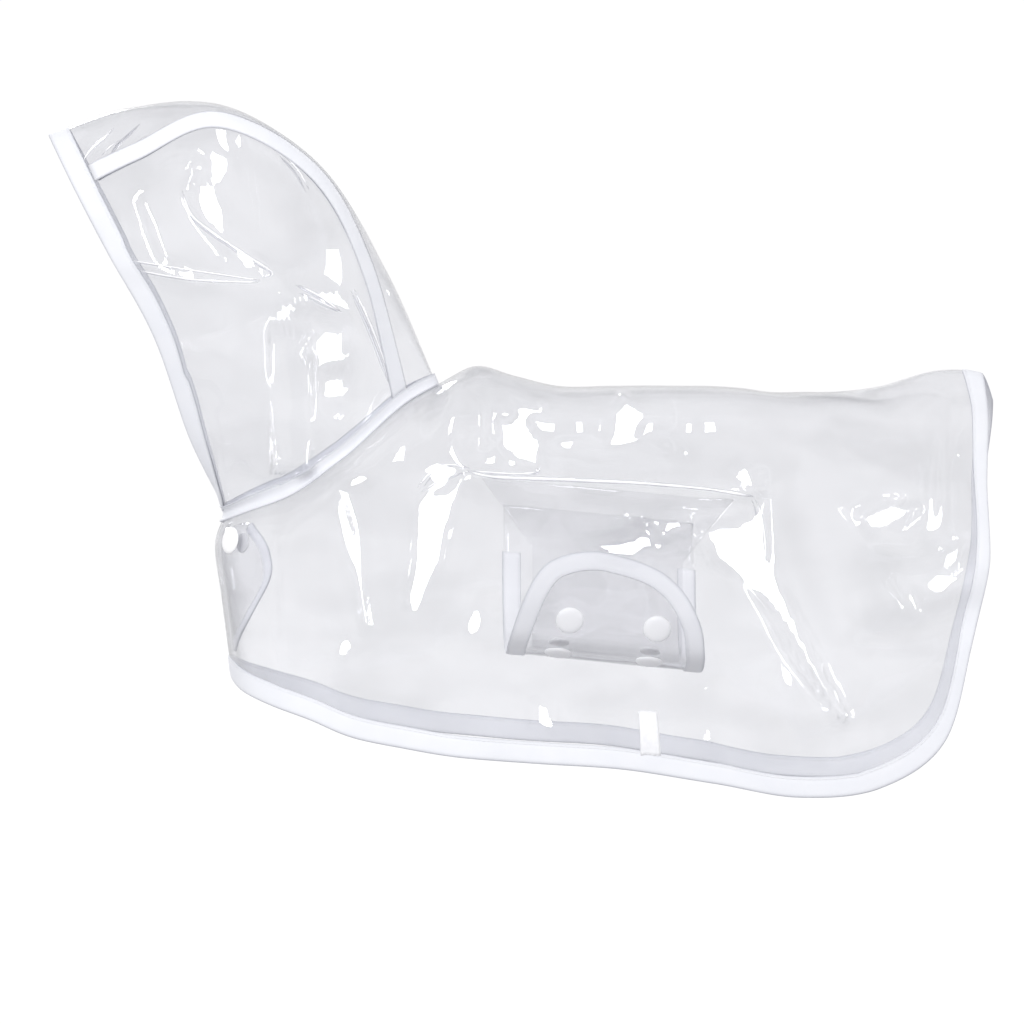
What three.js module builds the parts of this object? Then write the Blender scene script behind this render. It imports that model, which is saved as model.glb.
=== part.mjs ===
// A hooded pet raincoat in clear film with white folded binding, in its worn shape, hollow.
// Millimetres. +X runs to the tail, +Y to the far side, +Z up.
// The origin lies on the centre line of the back's inner face.
import * as THREE from 'three';

// Walls, gaps and widths.
const film = 1;                 // clear film
const binding = 1;              // one layer of binding tape
const seamGap = 0.3;            // between neighbouring pieces
const tapeWidth = 10;           // folded binding along the free edges
const neckLap = 5;              // half width of the tape over the neck seam
const crownLap = 5;             // half width of the tapes over the two crown seams
const bendGap = 1.1;            // below a flat tape that bends over a ridge or a hollow
const slitHalf = 0.6;           // half the opening between the two chest edges
const stepsPerSection = 3;      // facets between two rows of a table
const bodySteps = 13;           // facets from the back line to the hem
const hoodSteps = 12;           // facets from the face edge to the neck seam
const curveSamples = 60;        // curveSamples along a smooth line when it is spaced out
const borderLimit = 0.3;        // largest share of a cut that one border takes
const centreFade = 12;          // distance from the centre plane over which folds and sweep come in

// Cuts through one half of the body panel, from the back line or neck seam out to the free edge.
const bodySections = [
  { name: 'tail', top: [150, 0, 3], shoulder: [164, 0, 7],
    side: [178, 0, 8], hem: [190, 0, 6] },
  { name: 'tail 1', top: [140, 0, 0], shoulder: [159, -12, 1],
    side: [177, -18, -4], hem: [191, -20, -14] },
  { name: 'tail 2', top: [128, 0, -2], shoulder: [146, -20, -7],
    side: [167, -31, -21], hem: [189, -36, -46] },
  { name: 'tail 3', top: [114, 0, -3], shoulder: [130, -27, -10],
    side: [158, -42, -43], hem: [189, -47, -85] },
  { name: 'rump 1', top: [100, 0, -3], shoulder: [114, -32, -14],
    side: [147, -49, -65], hem: [180, -54, -126] },
  { name: 'rump 2', top: [85, 0, -3], shoulder: [97, -36, -15],
    side: [129, -53, -84], hem: [166, -60, -173] },
  { name: 'rump 3', top: [70, 0, -1], shoulder: [78, -38, -15],
    side: [102, -55, -91], hem: [134, -65, -195] },
  { name: 'flank 1', top: [53, 0, 0], shoulder: [57, -40, -15],
    side: [73, -55, -89], hem: [94, -67, -199] },
  { name: 'flank 2', top: [30, 0, 0], shoulder: [31, -40, -15],
    side: [39, -54, -84], hem: [53, -68, -192] },
  { name: 'flank 3', top: [5, 0, 0], shoulder: [4, -40, -15],
    side: [5, -53, -81], hem: [9, -68, -185] },
  { name: 'flank 4', top: [-20, 0, 0], shoulder: [-24, -39, -15],
    side: [-30, -53, -79], hem: [-33, -68, -182] },
  { name: 'ribs 1', top: [-42, 0, 5], shoulder: [-49, -38, -12],
    side: [-61, -54, -76], hem: [-71, -68, -179] },
  { name: 'ribs 2', top: [-62, 0, 10], shoulder: [-71, -37, -8],
    side: [-86, -55, -74], hem: [-101, -67, -174] },
  { name: 'nape', top: [-81, 0, 1], shoulder: [-88, -36, -16],
    side: [-105, -56, -71], hem: [-125, -64, -169] },
  { name: 'neck 1', top: [-99, -16, -8], shoulder: [-105, -42, -28],
    side: [-125, -55, -74], hem: [-145, -58, -161] },
  { name: 'neck 2', top: [-125, -32, -30], shoulder: [-132, -48, -50],
    side: [-147, -51, -84], hem: [-163, -48, -155] },
  { name: 'neck 3', top: [-149, -34, -47], shoulder: [-158, -43, -67],
    side: [-169, -41, -96], hem: [-176, -33, -150] },
  { name: 'neck 4', top: [-172, -22, -57], shoulder: [-180, -27, -75],
    side: [-181, -24, -103], hem: [-182, -17, -146] },
  { name: 'throat', top: [-187, 0, -63], shoulder: [-192, 0, -79],
    side: [-189, 0, -104], hem: [-184, 0, -144] },
];
const napeRow = 13;             // the row where the back line ends and the neck seam starts

// Cuts through one half of the hood, from the face edge back to the neck seam, crown centre first.
const hoodSections = [
  { name: 'crown', edge: [-273, 0, 125], brow: [-234, 0, 138], top: [-188, 0, 139],
    back: [-140, 0, 109], nape: [-107, 0, 59], neck: [-81, 0, 1] },
  { name: 'crown seam', edge: [-261, -29, 101], brow: [-230, -32, 116], top: [-190, -34, 132],
    back: [-144, -33, 108], nape: [-117, -29, 61], neck: [-99, -16, -8] },
  { name: 'temple', edge: [-244, -37, 68], brow: [-212, -45, 80], top: [-180, -48, 75],
    back: [-154, -49, 48], nape: [-137, -43, 9], neck: [-125, -32, -30] },
  { name: 'cheek', edge: [-221, -37, 26], brow: [-200, -44, 26], top: [-181, -48, 19],
    back: [-166, -47, -1], nape: [-157, -41, -25], neck: [-149, -34, -47] },
  { name: 'jaw', edge: [-204, -25, -24], brow: [-196, -29, -27], top: [-189, -31, -34],
    back: [-182, -29, -41], nape: [-177, -26, -50], neck: [-172, -22, -57] },
  { name: 'throat', edge: [-190, -6, -54], brow: [-189.5, -5.5, -56], top: [-189, -5, -58],
    back: [-188.5, -4.5, -60], nape: [-188, -4, -61.5], neck: [-187, -2, -63] },
];
const crownSeamRow = 1;

// Largest folds as seen from the near side: a bell-shaped ridge (+) or trough (-) along a line.
// from and to are [x, z], reach is its half width, and far is how much of it the far side shows.
const folds = [
  { name: 'long crease', from: [-69, -40], to: [74, -53], reach: 9, height: 1.6, far: 0.7 },
  { name: 'shoulder drape', from: [-69, -40], to: [-98, -108], reach: 13, height: 3.2, far: 0.8 },
  { name: 'haunch drape', from: [74, -53], to: [114, -160], reach: 14, height: 3.4, far: 0.9 },
  { name: 'chest drape', from: [-128, -48], to: [-116, -115], reach: 9, height: 2.2, far: 0.7 },
  { name: 'behind the neck', from: [-63, 6], to: [-63, -30], reach: 8, height: -2.6, far: 1 },
  { name: 'tail drape', from: [176, -6], to: [168, -70], reach: 9, height: -3.0, far: 0.9 },
  { name: 'rear bulge', from: [188, -88], to: [140, -100], reach: 12, height: 2.8, far: 0.8 },
  { name: 'rear pull', from: [178, -112], to: [134, -124], reach: 11, height: -2.4, far: 0.6 },
  { name: 'hem wave 1', from: [30, -130], to: [36, -190], reach: 16, height: -2.2, far: 0.7 },
  { name: 'hem wave 2', from: [-52, -120], to: [-62, -176], reach: 16, height: 2.0, far: 1.2 },
  { name: 'hem wave 3', from: [120, -150], to: [140, -190], reach: 14, height: -2.0, far: 0.8 },
];
const hoodFolds = [
  { name: 'cheek crease', from: [-232, 62], to: [-163, 50], reach: 8, height: 1.8, far: 0.8 },
  { name: 'temple crease', from: [-205, 94], to: [-162, 56], reach: 8, height: -1.8, far: 0.7 },
  { name: 'nape crease', from: [-158, 50], to: [-127, 38], reach: 8, height: 1.6, far: 0.8 },
  { name: 'collar crease', from: [-134, 31], to: [-131, -8], reach: 8, height: -1.6, far: 0.9 },
];

// The far half hangs a little further back and lower towards the tail: from one x to another.
const farSweep = { from: 60, to: 180, back: 6, drop: 5 };

// Cuts through the belly strap, from its rounded end on the near side under the belly to the far seam.
// y and z place its outer face on the centre of the part, left and right are its edges in x.
const strapSections = [
  { name: 'rounded end', y: -46.5, z: -82, left: -10, right: 5 },
  { name: 'arch 1', y: -46.4, z: -84.5, left: -19, right: 18 },
  { name: 'arch 2', y: -46, z: -89.5, left: -28, right: 30 },
  { name: 'arch 3', y: -45.4, z: -99, left: -35, right: 40 },
  { name: 'upper snaps', y: -43.5, z: -113, left: -41, right: 47 },
  { name: 'turn', y: -38.5, z: -126, left: -45, right: 49 },
  { name: 'lower snaps', y: -27, z: -133, left: -46.5, right: 49.5 },
  { name: 'under', y: -12, z: -137, left: -46.5, right: 49.5 },
  { name: 'belly', y: 6, z: -138, left: -46.5, right: 49.5 },
  { name: 'far under', y: 24, z: -134.5, left: -46.5, right: 49.5 },
  { name: 'far turn', y: 37, z: -126, left: -46.5, right: 49.5 },
  { name: 'far side', y: 44, z: -110, left: -46.5, right: 49.5 },
  { name: 'far rise', y: 47.5, z: -90, left: -46.5, right: 49.5 },
];
const strapTilt = -0.1;         // drop in z for each millimetre towards the tail
const strapTape = 8.5;          // folded width of the tape round the strap
const strapTapeGap = 0.5;       // between the strap and its tape, which bends round the arch
const strapSteps = 3;           // facets between two rows of the strap's table
const strapColumns = 4;         // facets across the strap
// The strap's far seam: height on the far panel, facets up to it and how early the strap closes in.
const strapSeam = { z: -66, rise: 3, ease: 0.7 };
// The plain tab that the strap is snapped to: sewn inside the near panel, it runs down inside the strap.
const tab = { seamZ: -49, rise: 3, seamHalf: 62, bodyHalf: 37, centre: 1.5, end: 7.34, columns: 6, depth: 2 };

const snap = { cap: 13.5, capHeight: 2, socket: 10, socketHeight: 2.2, facets: 14, seat: 0.9 };
// Outlines from the axis out, as shares of the radius and of the height.
const capOutline = [[0, 0], [0.94, 0], [1, 0.2], [1, 0.45], [0.86, 0.75], [0.5, 0.95], [0, 1]];
const socketOutline = [
  [0, 0], [1, 0], [1, 0.45], [0.62, 0.55], [0.55, 1], [0.3, 1], [0.26, 0.5], [0, 0.5],
];
const bellySnaps = [
  { name: 'belly_snap_front_upper', x: -17, section: 4.2 },
  { name: 'belly_snap_rear_upper', x: 26, section: 4.2 },
  { name: 'belly_snap_front_lower', x: -22, section: 6 },
  { name: 'belly_snap_rear_lower', x: 23, section: 6 },
];
// The chest flap goes from the far half across the chest opening to the inside of the near half.
// Its outline is given as [table row, distance down that cut], from the hem end of its root upwards.
const chestFlap = {
  outline: [[18.5, 71], [17.5, 71], [16.6, 66], [15.95, 54], [16.2, 36], [16.75, 16], [17.2, 8], [18.5, 7]],
  centre: [18.5, 42], root: 0.5, tape: 5.5, tapeFirst: 3, tapeEnd: 20, steps: 24, rings: [0.6, 0.3, 0],
};
const chestSnap = { section: 17.2, drop: 19, lift: 0.6, seat: 2.3 };
const label = { section: 8.7, width: 0.228, height: 20, wall: 0.8, clear: 1.2, steps: 3 };

// Colours and finishes.
const clearFilm = { color: 0xdfe3ea, roughness: 0.12, metalness: 0 };
const whiteTape = { color: 0xf4f5fa, roughness: 0.75, metalness: 0 };
const whitePlastic = { color: 0xfbfbfd, roughness: 0.3, metalness: 0 };
const whiteSatin = { color: 0xf7f7f9, roughness: 0.55, metalness: 0 };

const vector = (values) => new THREE.Vector3(...values);
const mirrored = (point) => new THREE.Vector3(point.x, -point.y, point.z);
const moved = (point, direction, distance) => point.clone().addScaledVector(direction, distance);

// Catmull-Rom through four points.
function curvePoint(before, start, end, after, t) {
  const value = (axis) => {
    const [a, b, c, d] = [before[axis], start[axis], end[axis], after[axis]];
    const linear = (c - a) * t;
    const square = (2 * a - 5 * b + 4 * c - d) * t * t;
    const cube = (3 * b - a - 3 * c + d) * t * t * t;
    return b + (linear + square + cube) / 2;
  };
  return new THREE.Vector3(value('x'), value('y'), value('z'));
}

// A smooth line through a list of points that carries one guide point before and one after it.
function along(points, position) {
  const last = points.length - 4;
  const index = Math.min(Math.floor(position), last);
  return curvePoint(...points.slice(index, index + 4), position - index);
}

// Points at the given distances along a smooth line.
function spaced(points, distancesFor) {
  const spans = points.length - 3;
  const trail = [];
  for (let k = 0; k <= curveSamples; k += 1) {
    trail.push(along(points, (spans * k) / curveSamples));
  }
  const lengths = [0];
  for (let k = 1; k <= curveSamples; k += 1) {
    lengths.push(lengths[k - 1] + trail[k].distanceTo(trail[k - 1]));
  }
  return distancesFor(lengths[curveSamples]).map((distance) => {
    let k = 1;
    while (k < curveSamples && lengths[k] < distance) {
      k += 1;
    }
    const share = (distance - lengths[k - 1]) / Math.max(lengths[k] - lengths[k - 1], 1e-9);
    return trail[k - 1].clone().lerp(trail[k], THREE.MathUtils.clamp(share, 0, 1));
  });
}

// Distances that put one line at the inner border of each tape and spread the rest evenly.
function marks(length, first, last, count) {
  const start = Math.min(first, length * borderLimit);
  const end = length - Math.min(last, length * borderLimit);
  const middle = Array.from({ length: count - 1 }, (_, k) => start + ((end - start) * k) / (count - 2));
  return [0, ...middle, length];
}

function foldHeight(list, point, far) {
  let height = 0;
  for (const fold of list) {
    const [x0, z0] = fold.from;
    const [dx, dz] = [fold.to[0] - x0, fold.to[1] - z0];
    const share = ((point.x - x0) * dx + (point.z - z0) * dz) / (dx * dx + dz * dz);
    const inside = THREE.MathUtils.clamp(share, 0, 1);
    const away = Math.hypot(point.x - x0 - dx * inside, point.z - z0 - dz * inside) / fold.reach;
    height += fold.height * (far ? fold.far : 1) * Math.exp(-away * away);
  }
  return height;
}

// Normals of a surface whose near and far halves share their centre points.
function surfaceNormals(near, far) {
  const sums = new Map();
  const key = (p) => `${p.x.toFixed(3)},${p.y.toFixed(3)},${p.z.toFixed(3)}`;
  const add = (grid, flip) => {
    for (let i = 0; i + 1 < grid.length; i += 1) {
      for (let j = 0; j + 1 < grid[i].length; j += 1) {
        const corners = [grid[i][j], grid[i + 1][j], grid[i + 1][j + 1], grid[i][j + 1]];
        const face = new THREE.Vector3().crossVectors(
          corners[2].clone().sub(corners[0]),
          corners[3].clone().sub(corners[1]),
        ).multiplyScalar(flip);
        for (const corner of corners) {
          const name = key(corner);
          sums.set(name, (sums.get(name) ?? new THREE.Vector3()).add(face));
        }
      }
    }
  };
  add(near, 1);
  add(far, -1);
  const read = (grid) => grid.map((row) => row.map((p) => sums.get(key(p)).clone().normalize()));
  return { near: read(near), far: read(far) };
}

// A list with a mirrored guide point at each end, for a line that crosses the centre plane there.
const mirroredEnds = (points) => [mirrored(points[1]), ...points, mirrored(points.at(-2))];
const neckSeam = mirroredEnds(hoodSections.map((section) => vector(section.neck)));

// A point of the far half, moved back and down towards the tail.
function swept(point) {
  const share = THREE.MathUtils.smoothstep(point.x, farSweep.from, farSweep.to);
  const fade = share * Math.min(1, Math.abs(point.y) / centreFade);
  return new THREE.Vector3(point.x + farSweep.back * fade, point.y, point.z - farSweep.drop * fade);
}

// Both halves of a table: columns splined along the table first, then across each cut. The first
// seamRows rows start on the centre line, and the body's later ones start on the neck seam.
function halves(sections, columns, seamRows, distancesFor, foldList) {
  const rows = sections.map((section) => columns.map((name) => vector(section[name])));
  const lastRow = rows.length - 1;
  const guided = columns.map((_, c) => mirroredEnds(rows.map((row) => row[c])));
  const build = (far) => {
    const grid = [];
    for (let i = 0; i <= lastRow * stepsPerSection; i += 1) {
      const position = i / stepsPerSection;
      const cut = guided.map((line) => along(line, position));
      if (position <= seamRows) {
        cut[0].y = 0;
      } else if (seamRows > 0) {
        cut[0] = along(neckSeam, position - seamRows);
      }
      if (i === 0) {
        cut.forEach((p) => { p.y = 0; });
      }
      const level = THREE.MathUtils.clamp((position - seamRows) / 2, 0, 1);
      const straight = cut[0].clone().multiplyScalar(2).sub(cut[1]);
      const guide = mirrored(cut[1]).lerp(straight, seamRows < 0 ? 1 : level);
      const end = cut[cut.length - 1].clone().multiplyScalar(2).sub(cut[cut.length - 2]);
      const row = spaced([guide, ...cut, end], distancesFor);
      grid.push(far ? row.map((p) => swept(mirrored(p))) : row);
    }
    return grid;
  };
  const near = build(false);
  const far = build(true);
  const flat = surfaceNormals(near, far);
  const fold = (grid, normals, isFar) => grid.map((row, i) => row.map((p, j) => {
    const onCentre = Math.abs(p.y) < 1e-6;
    const fade = Math.min(1, Math.abs(p.y) / centreFade);
    const depth = onCentre ? 0 : foldHeight(foldList, p, isFar) * fade;
    return moved(p, normals[i][j], depth);
  }));
  const nearFolded = fold(near, flat.near, false);
  const farFolded = fold(far, flat.far, true);
  const normals = surfaceNormals(nearFolded, farFolded);
  nearFolded.at(-1).forEach((p) => { p.y -= slitHalf; });
  farFolded.at(-1).forEach((p) => { p.y += slitHalf; });
  return {
    near: { points: nearFolded, normals: normals.near },
    far: { points: farFolded, normals: normals.far },
  };
}

// A closed mesh from loose triangles whose equal corners are shared.
function solid(triangles) {
  const positions = [];
  const index = [];
  const known = new Map();
  for (const triangle of triangles) {
    const corners = triangle.map((p) => {
      const name = `${p.x.toFixed(3)},${p.y.toFixed(3)},${p.z.toFixed(3)}`;
      if (!known.has(name)) {
        known.set(name, positions.length / 3);
        positions.push(p.x, p.y, p.z);
      }
      return known.get(name);
    });
    if (new Set(corners).size === 3) {
      index.push(...corners);
    }
  }
  const geometry = new THREE.BufferGeometry();
  geometry.setAttribute('position', new THREE.Float32BufferAttribute(positions, 3));
  geometry.setIndex(index);
  geometry.computeVertexNormals();
  return geometry;
}

// Triangles of a grid. Each quad is cut along its shorter diagonal, so that walls that run beside
// each other over the same points bend along the same lines.
function quads(grid, flip) {
  const list = [];
  for (let i = 0; i + 1 < grid.length; i += 1) {
    for (let j = 0; j + 1 < grid[i].length; j += 1) {
      const [a, b, c, d] = [grid[i][j], grid[i + 1][j], grid[i + 1][j + 1], grid[i][j + 1]];
      const pair = a.distanceTo(c) <= b.distanceTo(d) ? [[a, b, c], [a, c, d]] : [[a, b, d], [b, c, d]];
      list.push(...(flip ? pair.map(([p, q, r]) => [p, r, q]) : pair));
    }
  }
  return list;
}

// The rim that closes a wall along one border, where outer and inner run side by side.
function rim(outer, inner, flip) {
  return quads([outer, inner], flip);
}

const column = (grid, j) => grid.map((row) => row.at(j));

// A closed wall between two grids of the same size, the outer one's corners turning outwards.
function wall(outer, inner) {
  return solid([
    ...quads(outer, false),
    ...quads(inner, true),
    ...rim(outer[0], inner[0], true),
    ...rim(outer.at(-1), inner.at(-1), false),
    ...rim(column(outer, 0), column(inner, 0), false),
    ...rim(column(outer, -1), column(inner, -1), true),
  ]);
}

function offsetGrid(surface, distance) {
  return surface.points.map((row, i) => row.map((p, j) => moved(p, surface.normals[i][j], distance)));
}

// One surface read from the far half's last row over the shared centre row to the near half's last row.
function joined(both, last) {
  const read = (field) => [
    ...both.far[field].slice(1, last + 1).reverse(),
    ...both.near[field].slice(0, last + 1),
  ];
  return { points: read('points'), normals: read('normals') };
}

// The point and normal at a place in a half, given by table row and distance down that cut.
function surfaceAt(both, section, distance) {
  const lastSection = (both.near.points.length - 1) / stepsPerSection;
  const beyond = section > lastSection;
  const half = beyond ? both.far : both.near;
  const index = (beyond ? 2 * lastSection - section : section) * stepsPerSection;
  const first = Math.min(Math.floor(index), half.points.length - 2);
  const read = (row) => {
    let walked = 0;
    let j = 0;
    while (j + 2 < row.length && walked + row[j].distanceTo(row[j + 1]) < distance) {
      walked += row[j].distanceTo(row[j + 1]);
      j += 1;
    }
    return { j, share: (distance - walked) / row[j].distanceTo(row[j + 1]) };
  };
  const pick = (i) => {
    const { j, share } = read(half.points[i]);
    return {
      point: half.points[i][j].clone().lerp(half.points[i][j + 1], share),
      normal: half.normals[i][j].clone().lerp(half.normals[i][j + 1], share),
    };
  };
  const [a, b] = [pick(first), pick(first + 1)];
  const share = index - first;
  return { point: a.point.lerp(b.point, share), normal: a.normal.lerp(b.normal, share).normalize() };
}

// The point and normal of one side of a surface at a given x and z.
function sideAt(surface, x, z) {
  let best = null;
  const weigh = (a, b, c) => {
    const area = (b.x - a.x) * (c.z - a.z) - (c.x - a.x) * (b.z - a.z);
    const toB = ((x - a.x) * (c.z - a.z) - (c.x - a.x) * (z - a.z)) / area;
    const toC = ((b.x - a.x) * (z - a.z) - (x - a.x) * (b.z - a.z)) / area;
    return [1 - toB - toC, toB, toC];
  };
  const { points, normals } = surface;
  for (let i = 0; i + 1 < points.length; i += 1) {
    for (let j = 0; j + 1 < points[i].length; j += 1) {
      for (const corners of [[[i, j], [i + 1, j], [i + 1, j + 1]], [[i, j], [i + 1, j + 1], [i, j + 1]]]) {
        const weights = weigh(...corners.map(([r, c]) => points[r][c]));
        if (Math.min(...weights) >= -1e-6) {
          const sum = (grid) => corners.reduce((total, [r, c], k) => (
            total.addScaledVector(grid[r][c], weights[k])), new THREE.Vector3());
          const found = { point: sum(points), normal: sum(normals).normalize() };
          if (!best || Math.abs(found.point.y) > Math.abs(best.point.y)) {
            best = found;
          }
        }
      }
    }
  }
  return best;
}

function mesh(name, geometry, finish) {
  const item = new THREE.Mesh(geometry, new THREE.MeshStandardMaterial(finish));
  item.name = name;
  return item;
}

// Folded binding: a U of tape round a free edge. Each station holds the edge and the border inside it.
function foldedTape(stations, gap = seamGap) {
  const outer = [];
  const inner = [];
  const under = -(film + gap);
  for (const { edge, border } of stations) {
    const past = edge.point.clone().sub(border.point).normalize();
    const fold = moved(edge.point, past, gap);
    const end = moved(fold, past, binding);
    inner.push([
      moved(border.point, border.normal, gap),
      moved(fold, edge.normal, gap),
      moved(fold, edge.normal, under),
      moved(border.point, border.normal, under),
    ]);
    outer.push([
      moved(border.point, border.normal, gap + binding),
      moved(end, edge.normal, gap + binding),
      moved(end, edge.normal, under - binding),
      moved(border.point, border.normal, under - binding),
    ]);
  }
  return wall(outer, inner);
}

// A flat strip that lies on panels: rows of points with normals, lifted clear of them.
// A point in a bend carries its mitre, the share by which the bend lengthens its offset.
function flatTape(rows, gap, thickness) {
  const lifted = (distance) => rows.map((row) => row.map(({ point, normal, mitre = 1 }) => (
    moved(point, normal, distance * mitre))));
  return wall(lifted(gap + thickness), lifted(gap));
}

const at = (surface, i, j) => ({ point: surface.points[i].at(j), normal: surface.normals[i].at(j) });

const body = halves(
  bodySections,
  ['top', 'shoulder', 'side', 'hem'],
  napeRow,
  (length) => marks(length, neckLap, tapeWidth, bodySteps),
  folds,
);
const hood = halves(
  hoodSections,
  ['edge', 'brow', 'top', 'back', 'nape', 'neck'],
  -1,
  (length) => marks(length - seamGap, tapeWidth, neckLap, hoodSteps),
  hoodFolds,
);
const napeIndex = napeRow * stepsPerSection;
const crownIndex = crownSeamRow * stepsPerSection;

// The body panel lies over the back and both sides and meets itself at the chest opening.
function bodyPanel() {
  const triangles = [];
  for (const [half, flip] of [[body.near, false], [body.far, true]]) {
    const outer = half.points.map((row) => row.slice());
    const inner = offsetGrid(half, -film);
    triangles.push(...quads(outer, flip), ...quads(inner, !flip));
    triangles.push(...rim(outer.at(-1), inner.at(-1), flip));
    triangles.push(...rim(column(outer, 0).slice(napeIndex), column(inner, 0).slice(napeIndex), flip));
    triangles.push(...rim(column(outer, -1), column(inner, -1), !flip));
  }
  return mesh('body_panel', solid(triangles), clearFilm);
}

// A stretch of a hood surface, trimmed at its seam rows.
function hoodPanel(name, surface, trimFirst, trimLast) {
  const trim = (grid) => {
    const rows = grid.map((row) => row.map((p) => p.clone()));
    const pull = (row, next) => row.forEach((p, j) => p.lerp(next[j], seamGap / 2 / p.distanceTo(next[j])));
    if (trimFirst) {
      pull(rows[0], rows[1]);
    }
    if (trimLast) {
      pull(rows.at(-1), rows.at(-2));
    }
    return rows;
  };
  return mesh(name, wall(trim(surface.points), trim(offsetGrid(surface, -film))), clearFilm);
}

function slice(surface, first, last, reverse) {
  const read = (grid) => (reverse ? grid.slice(first, last + 1).reverse() : grid.slice(first, last + 1));
  return { points: read(surface.points), normals: read(surface.normals) };
}

function hoodPanels() {
  const last = hood.near.points.length - 1;
  return [
    hoodPanel('hood_gusset', joined(hood, crownIndex), true, true),
    hoodPanel('hood_side_near', slice(hood.near, crownIndex, last, false), true, false),
    hoodPanel('hood_side_far', slice(hood.far, crownIndex, last, true), false, true),
  ];
}

// Tape folded round the face edge of the hood.
function hoodEdgeTape() {
  const all = joined(hood, hood.near.points.length - 1);
  const stations = all.points.map((_, i) => ({ edge: at(all, i, 0), border: at(all, i, 1) }));
  return mesh('hood_edge_tape', foldedTape(stations.reverse()), whiteTape);
}

// Tape over each seam between the gusset and a side, from the face tape back to the neck tape.
function crownTape(name, half, flip) {
  const row = half.points[crownIndex];
  const rows = [];
  const across = (j, share) => {
    const place = (i) => {
      const [a, b] = [half.points[i][j], half.points[i][j + 1] ?? half.points[i][j]];
      return a.clone().lerp(b, share);
    };
    const seam = place(crownIndex);
    const reach = (i) => {
      const next = place(i);
      return seam.clone().lerp(next, Math.min(1, crownLap / seam.distanceTo(next)));
    };
    const normal = half.normals[crownIndex][j];
    const side = (p, i) => ({ point: p, normal: normal.clone().lerp(half.normals[i][j], 0.5).normalize() });
    return [
      side(reach(crownIndex - 1), crownIndex - 1),
      { point: seam, normal },
      side(reach(crownIndex + 1), crownIndex + 1),
    ];
  };
  const clear = 2 * binding;
  for (let j = 1; j < row.length - 1; j += 1) {
    const share = j === 1 ? clear / row[1].distanceTo(row[2]) : 0;
    const back = 1 - clear / row[j].distanceTo(row[j - 1]);
    rows.push(j < row.length - 2 ? across(j, share) : across(j - 1, back));
  }
  const ordered = flip ? rows : rows.reverse();
  return mesh(name, flatTape(ordered, bendGap, binding), whiteTape);
}

// Tape over the neck seam, from one side of the throat round the nape to the other.
function neckTape() {
  const station = (hoodHalf, bodyHalf, i) => {
    const above = at(hoodHalf, i, -2);
    const below = at(bodyHalf, napeIndex + i, 1);
    const seam = at(bodyHalf, napeIndex + i, 0);
    const hoodNormal = at(hoodHalf, i, -1).normal;
    const normal = seam.normal.clone().add(hoodNormal).normalize();
    return [above, { point: seam.point, normal, mitre: 1 / normal.dot(seam.normal) }, below];
  };
  const last = hood.near.points.length - 1;
  const rows = [];
  for (let i = last; i > 0; i -= 1) {
    rows.push(station(hood.far, body.far, i));
  }
  for (let i = 0; i <= last; i += 1) {
    rows.push(station(hood.near, body.near, i));
  }
  return mesh('neck_tape', flatTape(rows, bendGap, binding), whiteTape);
}

// Tape folded round the hem and the tail edge in one run.
function hemTape() {
  const all = joined(body, body.near.points.length - 1);
  const stations = all.points.map((_, i) => ({ edge: at(all, i, -1), border: at(all, i, -2) }));
  return mesh('hem_tape', foldedTape(stations), whiteTape);
}

// The strap's cut at a place in its table: edges, outer face and outward normal.
function strapCut(section) {
  const keys = ['left', 'y', 'z'];
  const rows = strapSections.map((row) => new THREE.Vector3(...keys.map((key) => row[key])));
  const rights = strapSections.map((row) => new THREE.Vector3(row.right, row.y, row.z));
  const guided = (list) => [
    list[0].clone().multiplyScalar(2).sub(list[1]),
    ...list,
    list.at(-1).clone().multiplyScalar(2).sub(list.at(-2)),
  ];
  const left = along(guided(rows), section);
  const right = along(guided(rights), section);
  const step = 0.02;
  const ahead = along(guided(rows), Math.min(section + step, rows.length - 1));
  const behind = along(guided(rows), Math.max(section - step, 0));
  const [dy, dz] = [ahead.y - behind.y, ahead.z - behind.z];
  const normal = new THREE.Vector3(dy * strapTilt, dz, -dy).normalize();
  return { left: left.x, right: right.x, y: left.y, z: left.z, normal };
}

function strapPoint(cut, x, inward) {
  const point = new THREE.Vector3(x, cut.y, cut.z + strapTilt * x);
  return moved(point, cut.normal, -inward);
}

const strapRows = (strapSections.length - 1) * strapSteps;
const tabDepth = film + binding + strapTapeGap + 2 * seamGap;  // tab's outer face below the strap's
const fractions = (count) => Array.from({ length: count + 1 }, (_, k) => k / count);

// The far end of the strap rises on to the far panel and lies inside it at its seam.
function strapSurface() {
  const points = [];
  const normals = [];
  for (let i = 0; i <= strapRows; i += 1) {
    const cut = strapCut(i / strapSteps);
    const xs = fractions(strapColumns).map((u) => THREE.MathUtils.lerp(cut.left, cut.right, u));
    points.push(xs.map((x) => strapPoint(cut, x, 0)));
    normals.push(xs.map(() => cut.normal));
  }
  const end = strapCut(strapSections.length - 1);
  for (let k = 1; k <= strapSeam.rise; k += 1) {
    const share = k / strapSeam.rise;
    const row = fractions(strapColumns).map((u) => {
      const x = THREE.MathUtils.lerp(end.left, end.right, u);
      const z = THREE.MathUtils.lerp(end.z, strapSeam.z, share) + strapTilt * x;
      const panel = sideAt(body.far, x, z);
      const seam = moved(panel.point, panel.normal, -(film + seamGap));
      const free = new THREE.Vector3(x, end.y, z);
      const normal = end.normal.clone().lerp(panel.normal, share).normalize();
      return { point: free.lerp(seam, share ** strapSeam.ease), normal };
    });
    points.push(row.map((item) => item.point));
    normals.push(row.map((item) => item.normal));
  }
  return { points, normals };
}

function bellyStrap(surface) {
  return mesh('belly_strap', wall(surface.points, offsetGrid(surface, -film)), clearFilm);
}

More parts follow.
